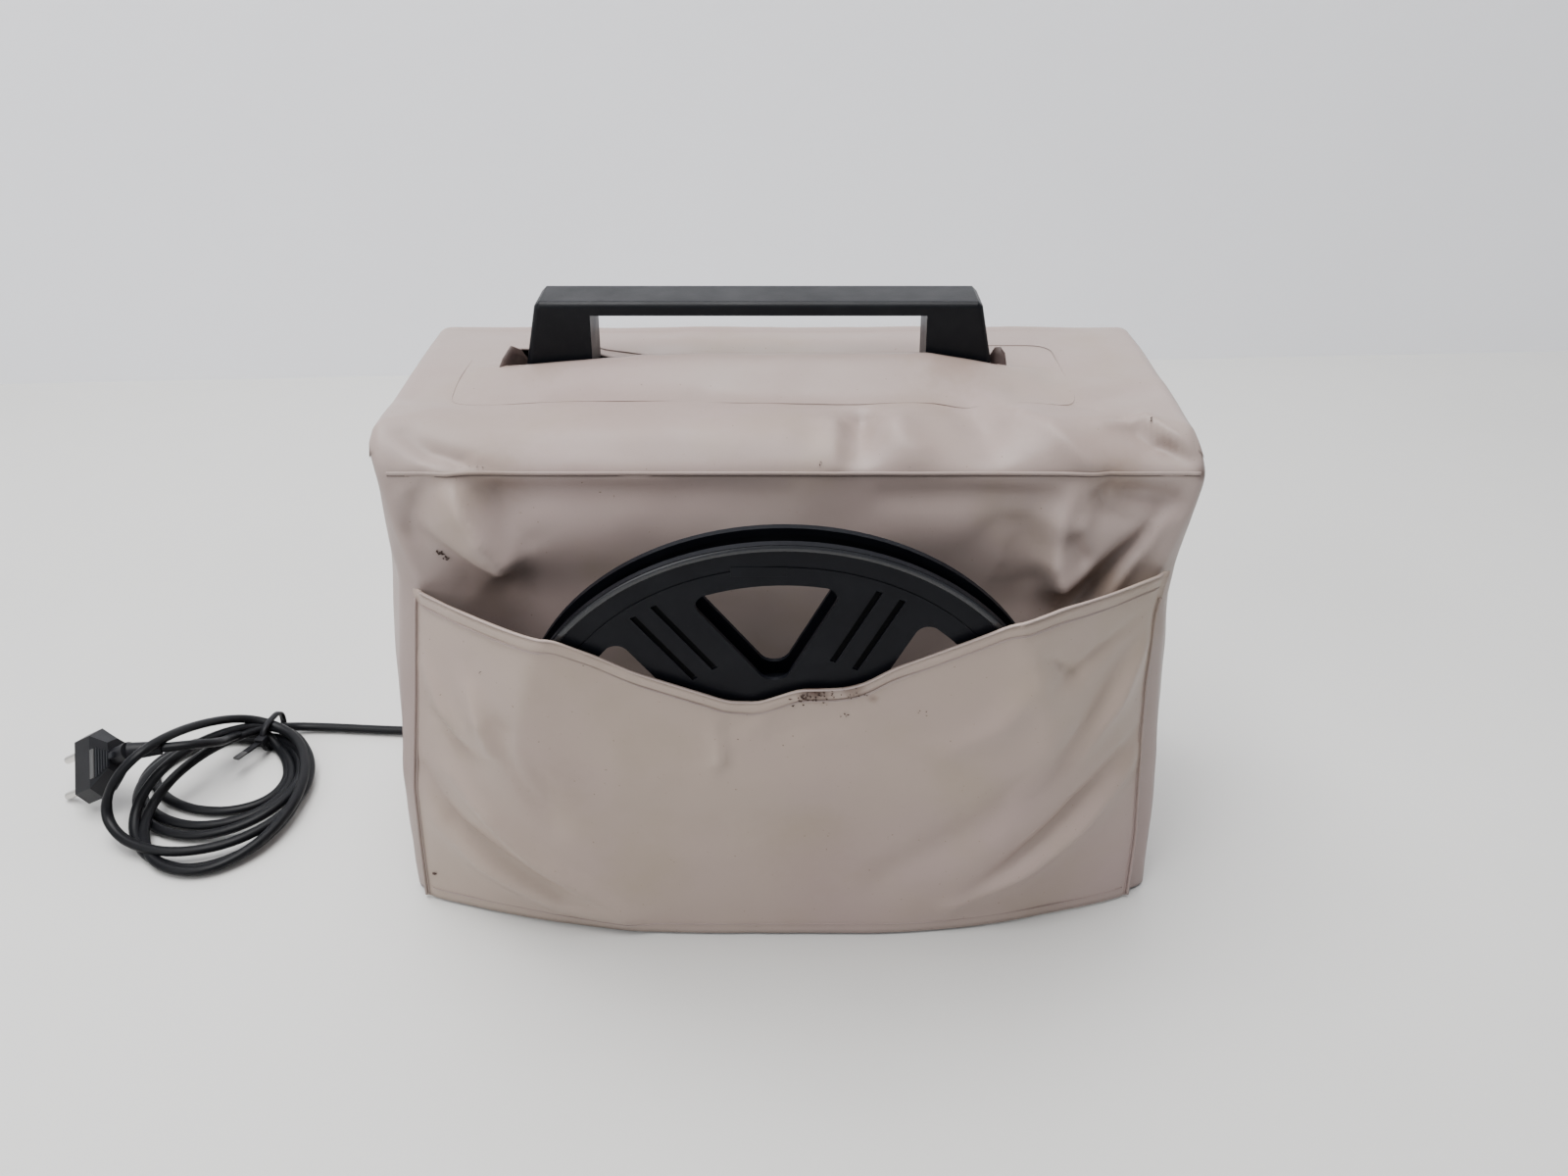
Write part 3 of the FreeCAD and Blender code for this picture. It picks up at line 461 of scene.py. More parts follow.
# ---- the cover's surface ----
# Half widths of the front's two edge seams at heights above the table.
LEFT_EDGE = [(0, 164.0), (31, 163.0), (64, 161.5), (115, 153.8), (162, 147.4), (173, 150.5), (197, 155.0),
             (212, 157.0), (224, 160.0)]
RIGHT_EDGE = [(0, 157.5), (37, 157.0), (85, 153.0), (115, 151.0), (150, 150.3), (170, 152.5), (188, 158.0),
              (209, 162.5), (222, 159.0)]
# How far each side panel stands out beyond its edge seam, just behind it.
LEFT_PINCH = [(0, 5.0), (60, 5.5), (110, 6.0), (160, 6.5), (190, 2.0), (205, 0.0)]
RIGHT_PINCH = [(0, 8.5), (60, 7.5), (110, 6.5), (165, 4.5), (190, 1.5), (205, 0.0)]
# How far behind the front the top starts to roll down to its seam, along the width.
BROW = [(-160, 14), (-155, 16), (-143, 26), (-128, 34), (-60, 33), (0, 30), (20, 34), (31, 37), (43, 24),
        (60, 36), (80, 39), (92, 26), (103, 18), (119, 20), (136, 24), (147, 18), (156, 14), (160, 14)]

# Creases on the front and top. u is across, v is the height over the seam, measured over the edge.
COVER_FOLDS = [
    # the left corner's folded tongue: its crest, its lower edge, and the hollows round it
    ([(-156, 25), (-142, 15), (-132, 6), (-130, 0), (-124, -12), (-117, -22), (-108, -34)],
     (0.0, 0.4, 1.5, 4.0, 11.0, 13.5, 11.0), 4.5, 17.0, 1.2),
    ([(-142, -19), (-131, -25), (-120, -32), (-110, -37)], (3.0, 6.0, 5.0), 12.0, 4.5, 1.4),
    ([(-123, 2), (-116, -9), (-109, -19), (-103, -28)], (-2.0, -4.5, -2.5), 12.0, 5.0, 1.7),
    ([(-143, -29), (-128, -40), (-112, -47)], (-1.6, -3.2, -1.4), 6.0, 16.0, 1.9),
    ([(-138, -3), (-145, -15), (-150, -24)], (-3.0, -3.6), 6.0, 5.0, 2.0),
    ([(-150, -4), (-148, -9)], (1.2, 0.8), 3.0, 2.0, 1.5),
    ([(-146, 24), (-136, 13), (-126, 8)], (-1.5, -4.5, -3.5), 8.0, 4.0, 1.8),
    # the left half: a swell on the brow, a hollow under the seam, a wide swell and a dent at its foot
    ([(-105, 30), (-60, 29), (0, 28)], (0.8, 1.8, 1.0), 12.0, 10.0, 2.0),
    ([(-108, -7), (-60, -6), (0, -6)], (-2.4, -1.8, -0.8), 5.0, 8.0, 2.0),
    ([(-95, -24), (-60, -26), (-20, -24)], (2.8, 2.8, 1.2), 16.0, 18.0, 2.0),
    ([(-105, -50), (-92, -52)], (-1.8, -1.8), 14.0, 14.0, 2.0),
    # the right half's soft dents and ridges over the seam
    ([(31, 42), (30, 28), (29, 12)], (-6.0, -5.5, -2.2), 5.0, 8.0, 1.6),
    ([(20, 36), (20, 20), (20, 4)], (2.6, 2.8, 1.4), 4.0, 6.0, 1.6),
    ([(44, 30), (50, 18), (52, 6)], (2.6, 2.4, 0.8), 8.0, 9.0, 2.0),
    ([(73, 48), (78, 32), (80, 16)], (-3.6, -4.6, -2.0), 8.0, 10.0, 1.9),
    ([(92, 40), (104, 24), (113, 10), (118, 2)], (1.8, 2.2, 2.6, 2.4), 8.0, 5.0, 1.7),
    ([(133, 34), (144, 18), (153, 9)], (-2.5, -5.5, -3.0), 5.0, 7.0, 1.7),
    ([(124, 30), (140, 35), (150, 20), (158, 6)], (1.4, 3.2, 2.8, 1.4), 4.0, 4.0, 1.5),
    # the right corner: the notch at the seam, the hollow beside it, and the ridges and dents below
    ([(124, 5), (124, -2), (122, -9), (125, -15), (134, -19)], (-0.8, -4.2, -5.0, -3.2), 3.0, 3.5, 1.4),
    ([(132, -9), (148, -11)], (-4.8, -4.0), 6.0, 6.0, 2.2),
    ([(112, -3), (107, -20), (106, -36), (109, -45)], (1.6, 6.5, 9.0, 7.0), 10.0, 5.5, 1.3),
    ([(109, -45), (120, -40), (132, -30), (142, -21)], (7.0, 5.0, 3.2, 1.5), 9.0, 4.5, 1.4),
    ([(113, -27), (118, -34)], (-3.2, -3.2), 4.5, 4.5, 1.8),
    ([(116, -20), (119, -28), (122, -35)], (2.2, 2.0, 1.2), 3.0, 4.0, 1.6),
    ([(148, -14), (138, -31), (124, -50), (116, -60)], (-3.0, -7.5, -8.0, -4.0), 5.0, 5.5, 1.5),
    ([(153, -8), (144, -30), (134, -50), (128, -62)], (1.6, 3.6, 3.6, 1.5), 4.5, 4.5, 1.6),
    ([(152, -8), (141, -36)], (0.7, 0.7), 1.2, 1.2, 1.5),
    # the right half under the seam: three hollows and a wide swell
    ([(74, -30), (84, -20), (93, -21), (99, -30), (101, -44)], (-0.8, -2.0, -2.8, -2.4), 7.0, 12.0, 1.8),
    ([(95, -56), (108, -58)], (-2.4, -2.4), 12.0, 12.0, 2.0),
    ([(40, -8), (75, -8), (104, -9)], (-1.0, -2.0, -1.5), 5.0, 6.0, 2.0),
    ([(45, -26), (68, -24)], (2.4, 2.4), 14.0, 14.0, 2.0),
    # the slot's front lip stands up in front of the handle, and its rear lip sags behind it
    ([(SLOT_X[0] - 8, 82), (-60, 81), (0, 80), (60, 81), (SLOT_X[1] + 8, 82)],
     (3.0, 9.5, 10.0, 9.8, 3.0), 9.0, 15.0, 2.0),
    ([(-76, 116), (-60, 117), (0, 118), (42, 117), (56, 116)],
     (-3.0, -5.4, -5.6, -5.4, -3.0), 7.0, 7.0, 2.0),
    # shallow hollows on the top
    ([(-150, 62), (-118, 52), (-92, 60)], (-2.0, -1.6, -0.8), 8.0, 8.0, 2.0),
    ([(95, 62), (120, 54), (148, 66)], (-1.6, -2.4, -1.2), 7.0, 9.0, 2.0),
    ([(-30, 60), (20, 57), (60, 60)], (-1.5, -1.8, -1.2), 8.0, 9.0, 2.0),
    ([(-140, 140), (0, 144), (120, 140)], (-0.8, -1.2, -0.6), 10.0, 10.0, 2.0),
]


def by_side(x, z, left, right):
    """Softened value at height z of the left profile, or of the right one where x is positive."""
    return np.where(x < 0, along(z, left, EDGE_SOFT), along(z, right, EDGE_SOFT))


def widen(x, y, z):
    """Draw the cover's sides in to its edge seams in front, and let them belly out behind them."""
    near = 1.0 - ease((y - FRONT) / DRAW_DEPTH)
    edge = by_side(x, z, LEFT_EDGE, RIGHT_EDGE)
    belly = bump(y - FRONT - 40.0, 27.0) - 0.11
    tall = (0.45 + 0.55 * ease(z / 50.0)) * ease((TOP - 4.0 - z) / 45.0)
    reach = np.where(x < 0, 8.0, 5.5)
    half = HALF + (edge - HALF) * near + reach * belly * tall
    pinch = ease((y - FRONT - 0.5) / 8.0) * (1.0 - ease((y - FRONT - 12.0) / 60.0))
    half = half + pinch * by_side(x, z, LEFT_PINCH, RIGHT_PINCH)
    half = half + 1.3 * np.sin(y / 19.0 + z / 41.0) * ease((y - FRONT) / 40.0) * ease((210.0 - z) / 80.0)
    share = (np.abs(x) - STEADY_HALF) / (HALF - STEADY_HALF)
    moved = np.sign(x) * (STEADY_HALF + (half - STEADY_HALF) * share)
    return np.where(np.abs(x) > STEADY_HALF, moved, x)


def profile(x, v, w):
    """Point and outward direction on the cover's outline from the front hem over to the rear hem.

    v is the height over the seam, measured over the edge; w is the same from the rear's top edge.
    """
    brow = along(x, BROW, 4.0)
    turn = np.clip(v / (RISE + brow), 0.0, 1.0)
    angle = turn * math.pi / 2
    chamfer = 0.30
    arc_y = brow * (1.0 - np.cos(angle))
    arc_z = RISE * np.sin(angle)
    y = FRONT + (1 - chamfer) * arc_y + chamfer * brow * turn
    z = SEAM + (1 - chamfer) * arc_z + chamfer * RISE * turn
    y = np.where(v > RISE + brow, FRONT + v - RISE, y)
    z = np.where(v < 0, SEAM + v, z)
    out_y = -np.cos(angle)
    out_z = np.sin(angle)
    back = np.clip(w / (2 * REAR_ROUND), 0.0, 1.0) * math.pi / 2
    behind = w > 0
    y = np.where(behind, REAR - REAR_ROUND + REAR_ROUND * np.sin(back), y)
    z = np.where(behind, TOP - REAR_ROUND + REAR_ROUND * np.cos(back), z)
    z = np.where(w > 2 * REAR_ROUND, TOP + REAR_ROUND - w, z)
    out_y = np.where(behind, np.sin(back), out_y)
    out_z = np.where(behind, np.cos(back), out_z)
    return y, z, out_y, out_z


def cover_relief(x, v, w):
    """Height of the folds over the plain outline."""
    front = folds(x, v, COVER_FOLDS) * (1.0 - 0.7 * bump(v, 4.5))       # the welded seam is stiff
    rear_z = TOP + REAR_ROUND - w
    swing = np.sin(x / 31.0 + 0.4) + 0.6 * np.sin(x / 17.0 - rear_z / 60.0 + 2.0)
    rear = 1.6 * swing * ease((w - 30.0) / 120.0) - 2.0 * bump(rear_z - 140.0, 60.0)
    return np.where(w > 0, rear * ease(w / 40.0), front)


def cover_point(x, v):
    """Places on the cover's front and top, at nominal x and run over the seam, before its fine swell."""
    x = np.asarray(x, float)
    v = np.broadcast_to(np.asarray(v, float), x.shape)
    w = np.full(x.shape, -1.0)
    y, z, out_y, out_z = profile(x, v, w)
    rise = cover_relief(x, v, w)
    y = y + out_y * rise
    z = z + out_z * rise
    return np.stack([widen(x, y, z), y, z], axis=-1)


def normals_of(place, x, v, step=0.6):
    """Outward direction of a surface given by place(x, v)."""
    across = place(x + step, v) - place(x - step, v)
    upward = place(x, v + step) - place(x, v - step)
    out = np.cross(across, upward)
    return out / np.linalg.norm(out, axis=-1)[..., None]


def ticks(breaks, step):
    """Grid lines through every break, at about the given spacing."""
    lines = [breaks[0]]
    for a, b in zip(breaks, breaks[1:]):
        count = max(1, round((b - a) / step))
        lines.extend(a + (b - a) * (k + 1) / count for k in range(count))
    return np.array(lines)


def build_cover():
    """One sheet over front, top, rear and both sides, open below, with the handle's slot in its top."""
    xs = ticks([-HALF, -HALF + SIDE_ROUND, SLOT_X[0], SLOT_X[1], HALF - SIDE_ROUND, HALF], STEP)
    ys = ticks([FRONT, FRONT + SIDE_ROUND, SLOT_Y[0], SLOT_Y[1], REAR - SIDE_ROUND, REAR], STEP)
    zs = ticks([HEM, SEAM - 2.0, SEAM, SEAM + 2.0, TOP - SIDE_ROUND, TOP], STEP)
    nx, ny, nz = len(xs) - 1, len(ys) - 1, len(zs) - 1
    index = {}
    faces = []

    def quad(*corners):
        faces.append([index.setdefault(corner, len(index)) for corner in corners])

    for i in range(nx):
        for k in range(nz):
            quad((i, 0, k), (i + 1, 0, k), (i + 1, 0, k + 1), (i, 0, k + 1))
            quad((i + 1, ny, k), (i, ny, k), (i, ny, k + 1), (i + 1, ny, k + 1))
    for i in range(nx):
        for j in range(ny):
            middle_x, middle_y = (xs[i] + xs[i + 1]) / 2, (ys[j] + ys[j + 1]) / 2
            if not (SLOT_X[0] < middle_x < SLOT_X[1] and SLOT_Y[0] < middle_y < SLOT_Y[1]):
                quad((i, j, nz), (i + 1, j, nz), (i + 1, j + 1, nz), (i, j + 1, nz))
    for j in range(ny):
        for k in range(nz):
            quad((0, j + 1, k), (0, j, k), (0, j, k + 1), (0, j + 1, k + 1))
            quad((nx, j, k), (nx, j + 1, k), (nx, j + 1, k + 1), (nx, j, k + 1))
    keys = np.array(list(index))
    x, y, z = xs[keys[:, 0]], ys[keys[:, 1]], zs[keys[:, 2]]
    side = np.isin(keys[:, 0], (0, nx))
    strip = np.isin(keys[:, 1], (0, ny)) | (keys[:, 2] == nz)
    to_front, to_rear, to_top = y - FRONT, REAR - y, TOP - z
    deep = np.minimum(np.minimum(to_front, to_rear), to_top)
    # the outline's nearest point to each vertex, as a run over the front edge or the rear edge
    rearward = to_rear < to_front
    v_front = np.where(to_front <= to_top, z - SEAM, RISE + to_front)
    w_rear = np.where(to_rear <= to_top, REAR_ROUND + to_top, REAR_ROUND - to_rear)
    upper = to_top <= np.minimum(to_front, to_rear)
    w = np.where(rearward, w_rear, -1.0)
    v = np.where(rearward & upper, RISE + to_front, v_front)
    v = np.where(rearward & ~upper, NO_FOLDS_V, v)
    plain_y = np.where(upper, y, np.where(rearward, REAR, FRONT))
    plain_z = np.where(upper, TOP, z)
    line_y, line_z, out_y, out_z = profile(x, v, w)
    relief = cover_relief(x, v, w)
    fade = 1.0 - ease(deep / FOLD_DEPTH)
    y = y + fade * (line_y - plain_y + out_y * relief)
    z = z + fade * (line_z - plain_z + out_z * relief)
    # round the edges between the side panels and the rest
    aside = HALF - np.abs(x)
    share = np.where(side, SIDE_ROUND - deep, SIDE_ROUND - aside) / SIDE_ROUND
    share = np.clip(share, 0.0, 1.0)
    hypotenuse = np.hypot(1.0, share)
    across, along_edge = SIDE_ROUND * (1 - share / hypotenuse), SIDE_ROUND * (1 - 1 / hypotenuse)
    pull_x = np.where(side, along_edge, across)
    sink = np.where(side, across, along_edge)
    rounded = (side & (deep < SIDE_ROUND)) | (strip & ~side & (aside < SIDE_ROUND))
    x = np.where(rounded, np.sign(x) * (HALF - pull_x), x)
    sink = np.where(rounded, sink - np.where(side, deep, 0.0), 0.0)
    y = y - out_y * sink
    z = z - out_z * sink
    x = widen(x, y, z)
    points = np.stack([x, y, z], axis=-1)
    steady = ease((z - HEM) / 15.0)
    centre = np.array([0.0, (FRONT + REAR) / 2, TOP / 2])
    out = points - centre
    out = out / np.array([HALF, (REAR - FRONT) / 2, TOP / 2])
    out = out ** 5
    out /= np.linalg.norm(out, axis=1)[:, None]
    swell = 0.8 * noise_field(points, 42.0, 1) + 0.35 * noise_field(points, 17.0, 2)
    points = points + out * (swell * steady)[:, None]
    points[:, 2] = np.maximum(points[:, 2], HEM * 0.6)
    cover = mesh_object("cover_sheet", points, faces, "cover_vinyl")
    thicken(cover, SHEET_T)
    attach(cover, "cover")
    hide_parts("cover_top_panel", "cover_front_panel", "cover_rear_panel", "cover_left_panel",
                "cover_right_panel", "cover_slot_patch")
    return cover


# ---- the pocket ----
MOUTH = [(-165, 161), (-150, 162), (-118, 164), (-86, 166), (-70, 158), (-56, 149.5), (-36, 141),
         (-22, 135), (-12, 133.5), (-2, 137.5), (6, 140.8), (22, 141), (31, 144), (41, 151.5), (50, 156),
         (61, 161.5), (73, 167.5), (84, 173.5), (104, 174.5), (128, 172), (150, 170), (165, 168)]
POCKET_FOLDS = [
    # creases at the left corner, and folds that sweep down to the middle of the hem
    ([(-142, 108), (-134, 98), (-127, 90)], (-1.8, -4.0, -1.8), 3.5, 3.5, 1.7),
    ([(-146, 130), (-139, 112), (-132, 100)], (1.0, 3.2, 1.4), 3.0, 4.0, 1.6),
    ([(-123, 129), (-121, 116), (-118, 103)], (2.0, 4.6, 2.4), 4.0, 5.0, 1.5),
    ([(-112, 116), (-101, 86), (-95, 65)], (-2.0, -4.2, -2.0), 6.0, 6.0, 1.7),
    ([(-155, 76), (-142, 52), (-119, 36), (-96, 22)], (-1.8, -4.4, -3.6, -1.6), 4.0, 5.0, 1.7),
    ([(-151, 50), (-132, 32), (-100, 15), (-63, 8)], (1.5, 4.0, 3.4, 1.2), 5.0, 6.0, 1.6),
    ([(-139, 83), (-124, 66), (-108, 46), (-92, 32), (-68, 12)], (2.6, 5.6, 5.4, 4.4, 1.6), 5.0, 7.0, 1.5),
    # the same on the right, and the creases under the mouth's right half
    ([(146, 139), (137, 120), (122, 98)], (2.0, 4.4, 2.2), 5.0, 5.0, 1.5),
    ([(137, 138), (126, 118), (112, 96), (90, 82)], (-1.4, -3.2, -3.2, -1.2), 6.0, 6.0, 1.8),
    ([(147, 92), (123, 70), (98, 42), (80, 24)], (-1.6, -4.4, -3.6, -1.4), 5.0, 4.0, 1.7),
    ([(150, 82), (127, 56), (104, 36), (72, 16)], (2.0, 4.6, 4.4, 1.6), 5.0, 6.0, 1.5),
    ([(127, 103), (76, 62), (42, 36)], (-1.6, -2.6, -1.2), 9.0, 9.0, 2.0),
    ([(99, 154), (106, 147), (113, 140)], (-1.2, -3.0, -1.6), 3.0, 3.0, 1.6),
    ([(107, 140), (122, 148), (138, 153)], (-1.6, -2.6, -1.0), 3.5, 3.5, 1.6),
    ([(94, 140), (84, 122), (66, 110)], (1.6, 2.8, 1.0), 7.0, 7.0, 1.7),
    # the short crease at the centre, two hollows beside it and the wide swell below
    ([(-27, 122), (-25, 112), (-25, 104), (-28, 101)], (0.6, 1.8, 2.6, 1.2), 1.8, 2.6, 1.4),
    ([(-20, 122), (-14, 130)], (-1.0, -1.6), 4.0, 4.0, 1.8),
    ([(-2, 120), (8, 128), (20, 131)], (-1.0, -1.8, -1.0), 6.0, 6.0, 1.8),
    ([(-60, 100), (-20, 92), (30, 92), (70, 88)], (1.0, 1.6, 1.6, 0.8), 18.0, 18.0, 2.0),
]
HEM_BAND = 5.5          # width of the folded hem at the mouth and at the bottom


def pocket_reach(x, z):
    """How far the pocket stands out from the cover's front."""
    flat = along(z, [(0, 25.0), (30, 27.5), (60, 30.5), (107, 36.3), (140, 41.2), (180, 48.8)], 12.0)
    half = along(z, [(0, 30.0), (30, 66.0), (60, 90.0), (107, 106.0), (140, 99.0), (180, 84.0)], 10.0)
    edge = by_side(x, z, LEFT_EDGE, RIGHT_EDGE)
    out = np.clip((np.abs(x) - half) / (edge - half), 0.0, 1.0)
    roundness = along(z, [(0, 1.9), (60, 1.45), (107, 1.22), (180, 1.15)])
    slope = 1.0 - out ** roundness
    return POCKET_GAP + (flat - POCKET_GAP) * slope


def pocket_point(x, z):
    """Places on the pocket, before its fine swell, at nominal x and height."""
    x = np.asarray(x, float)
    z = np.broadcast_to(np.asarray(z, float), x.shape)
    wide = widen(x, FRONT, z)
    # creases go in only as far as the reel behind the sheet leaves room
    past_rim = np.hypot(wide, z - REEL_Z) - REEL_R - 1.0
    room = along(z, [(0, 9.0), (60, 5.0), (90, 1.8), (107, 1.0), (180, 0.5)]) + 6.0 * ease(past_rim / 14.0)
    out = pocket_reach(wide, z) + np.maximum(1.3 * folds(wide, z, POCKET_FOLDS), -room)
    edge = ease((HALF - np.abs(x)) / 6.0)
    y = FRONT - POCKET_GAP - (out - POCKET_GAP) * edge
    return np.stack([wide, y, z], axis=-1)


def mouth_height(x):
    """Height of the pocket's mouth at nominal x."""
    return along(widen(x, FRONT, MOUTH_Z), MOUTH, 5.0)


def build_pocket():
    xs = ticks([-HALF, HALF], 2.5)
    shares = np.concatenate([np.linspace(0.0, 0.955, 62), [0.962, 0.968, 0.982, 1.0]])
    top = mouth_height(xs)
    rows = []
    for share in shares:
        z = HEM + (top - HEM) * share
        points = pocket_point(xs, z)
        if share > 0.965:
            points[:, 1] -= 0.35
        if share == 1.0:
            points[:, 1] += 0.25
        rows.append(points)
    points = np.concatenate(rows)
    swell = 0.55 * noise_field(points, 38.0, 5) + 0.22 * noise_field(points, 15.0, 6)
    points[:, 1] -= swell * ease((HALF - 4.0 - np.abs(points[:, 0])) / 20.0)
    faces = grid_faces(len(shares), len(xs))
    pocket = mesh_object("pocket_sheet", points, faces, "pocket_vinyl")
    thicken(pocket, SHEET_T)
    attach(pocket, "cover")
    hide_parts("cover_pocket_panel")
    return pocket


# Spots of flakes: place, spread each way, size and count.
MOUTH_FRAY = [(8, 137.0, 2.2, 1.6, 0.9, 30), (15, 138.5, 4.0, 1.0, 0.6, 16),
              (28, 138.5, 5.0, 1.6, 0.45, 14), (24, 128.0, 0.8, 0.8, 0.6, 4),
              (-154, 17.0, 0.8, 0.5, 1.2, 4), (-119, 141, 0.3, 0.6, 0.5, 2), (52, 130.0, 2.0, 0.6, 0.4, 3)]
FRONT_TEAR = [(-140, -32.5, 1.2, 0.5, 1.0, 9), (-137.5, -35.0, 0.8, 0.7, 0.9, 7),
              (14, 9, 0.3, 1.0, 0.5, 3), (48, 6, 0.3, 0.6, 0.4, 2),
              (-118, 6, 1.6, 0.8, 0.4, 5), (142, 30, 0.4, 0.6, 0.6, 3)]


def build_specks(name, place, spots, seed):
    """Small dark ragged flakes on the surface given by place."""
    chance = np.random.default_rng(seed)
    points = []
    faces = []
    for u, v, spread_u, spread_v, size, count in spots:
        us = u + spread_u * chance.normal(size=count)
        vs = v + spread_v * chance.normal(size=count)
        for pu, pv in zip(us, vs):
            across, along_way = size * chance.uniform(0.4, 1.2), size * chance.uniform(0.3, 0.8)
            turn = chance.uniform(0, math.pi)
            corners_u = pu + np.array([math.cos(turn), -math.sin(turn), -math.cos(turn)]) * across
            corners_v = pv + np.array([math.sin(turn), math.cos(turn), -math.sin(turn)]) * along_way
            base = place(corners_u, corners_v)
            outs = normals_of(place, corners_u, corners_v)
            first = len(points)
            points.extend(base + outs * 0.4)
            points.append(base.mean(axis=0) + outs.mean(axis=0) * 1.1)
            faces.extend([(first, first + 2, first + 1), (first, first + 1, first + 3),
                          (first + 1, first + 2, first + 3), (first + 2, first, first + 3)])
    return mesh_object(name, points, faces, "fray", False, "cover")


def build_tabs():
    """The slot's two torn ends, which stand up beside the handle, in near-black as painted shade where the
    slot's inside lies in shadow.
    """
    made = []
    left = [[(-120, 20, 228), (-117, 23, 234), (-114, 27, 238), (-111, 31, 235), (-108.6, 34, 229)],
            [(-120, 19, 224), (-117, 21, 224), (-114, 25, 224), (-111, 29, 224), (-108.6, 32, 224)]]
    right = [[(87.6, 33, 232), (89, 31, 236), (91, 30, 236.5), (93, 29, 234), (93.6, 28, 228)],
             [(87.6, 31, 224), (89, 29, 224), (91, 28, 224), (93, 27, 224), (93.6, 26, 224)]]
    for name, rows in (("left", left), ("right", right)):
        points = []
        steps = np.linspace(0, 4, 13)
        for share in np.linspace(0.0, 1.0, 5):
            row = (1 - share) * np.array(rows[0], float) + share * np.array(rows[1], float)
            points.extend(np.stack([np.interp(steps, range(5), values) for values in row.T], axis=-1))
        tab = mesh_object("slot_tab_" + name, points, grid_faces(5, 13), "slot_end_shade")
        thicken(tab, 0.9, 0.0)
        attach(tab, "cover")
        made.append(tab)
    return made


def surface_ribbon(name, place, x, v, width, height, tint, shift=(0.0, 0.0, 0.0), sink=0.1):
    """Ribbon that lies along the surface given by place(x, v)."""
    points = place(x, v) + np.array(shift)
    return ribbon(name, points, normals_of(place, x, v), width, height, tint, "cover", sink)


def patch_outline():
    """Closed run round the slot's patch, as nominal x and height over the seam."""
    low_x, high_x = PATCH_X[0] + PATCH_ROUND, PATCH_X[1] - PATCH_ROUND
    low_v, high_v = PATCH_V[0] + PATCH_ROUND, PATCH_V[1] - PATCH_ROUND
    corners = []
    for x, v, start in ((high_x, low_v, -90), (high_x, high_v, 0),
                        (low_x, high_v, 90), (low_x, low_v, 180)):
        for angle in np.radians(start + 15.0 * np.arange(7)):
            corners.append(np.array([x, v]) + PATCH_ROUND * np.array([math.cos(angle), math.sin(angle)]))
    corners.append(corners[0])
    points = [corners[0]]
    for a, b in zip(corners, corners[1:]):
        count = max(1, round(math.dist(a, b) / 3.0))
        points.extend(a + (b - a) * (k + 1) / count for k in range(count))
    return np.array(points).T


def build_seams():
    """Lips, weld lines and hems that lie on the cover, with painted shade along the seams and welds and
    painted highlight along the mouth's edge, the slot's torn ends in near-black painted shade, and the
    frayed spots.
    """
    xs = np.linspace(-HALF + 6.0, HALF - 3.0, 180)
    lift = 0.1 * normals_of(cover_point, xs, 0.0) + np.array([0.0, 0.0, 0.9])
    surface_ribbon("seam_front_lip", cover_point, xs, 0.0, 1.6, 0.45, "cover_vinyl", lift)
    surface_ribbon("seam_front_shade", cover_point, xs, 0.0, 0.7, 0.3, "seam_shade")
    zs = np.linspace(HEM + 1, 158.0, 90)
    # each side seam gets a raised lip and, inside it, a strip of painted shade
    for name, sign in (("left", -1), ("right", 1)):
        wide = widen(sign * HALF, FRONT, zs)
        out = np.tile(np.array([sign * 0.35, -0.94, 0.0]), (len(zs), 1))
        for part, inset, width, height, tint in (("lip", 0.6, 1.1, 0.6, "cover_vinyl"),
                                                 ("shade", 2.0, 0.5, 0.2, "weld_shade")):
            ys = np.full(zs.shape, FRONT - 1.3 - 0.1 * inset)
            line = np.stack([wide - sign * inset, ys, zs], axis=-1)
            ribbon(f"seam_{name}_{part}", line, out, width, height, tint, "cover", 1.2)
    # the mouth's edge and the light line below its weld are painted highlight; the weld line itself is
    # painted shade
    xs = np.linspace(-HALF + 4.0, HALF - 4.0, 200)
    for name, drop, width, tint in (("edge", 0.2, 0.7, "vinyl_highlight"),
                                    ("weld", HEM_BAND + 0.4, 0.35, "weld_shade"),
                                    ("weld_highlight", HEM_BAND + 0.9, 0.3, "vinyl_highlight")):
        z = mouth_height(xs) - drop
        surface_ribbon("mouth_" + name, pocket_point, xs, z, width, 0.15, tint,
                                   (0.0, -0.45, 0.0), 0.4)
    # the hem's weld line is painted shade
    surface_ribbon("hem_weld", pocket_point, xs, HEM + HEM_BAND, 0.5, 0.3, "weld_shade")
    surface_ribbon("slot_weld", cover_point, *patch_outline(), 0.6, 0.18, "cover_vinyl")
    build_tabs()
    build_specks("mouth_fray", pocket_point, MOUTH_FRAY, 3)
    build_specks("front_tear", cover_point, FRONT_TEAR, 5)


# ---- the reel ----
BEAD_R = 1.6            # the bead round the front flange's edge
GROOVE_REACH = 0.68     # a groove's middle and half its length, as shares of the reel's radius
GROOVE_HALF = 0.172
GROOVE_ASIDE = 4.7      # from the middle of its spoke
LABEL_REACH = 0.885     # the blank panel's middle, as a share of the reel's radius


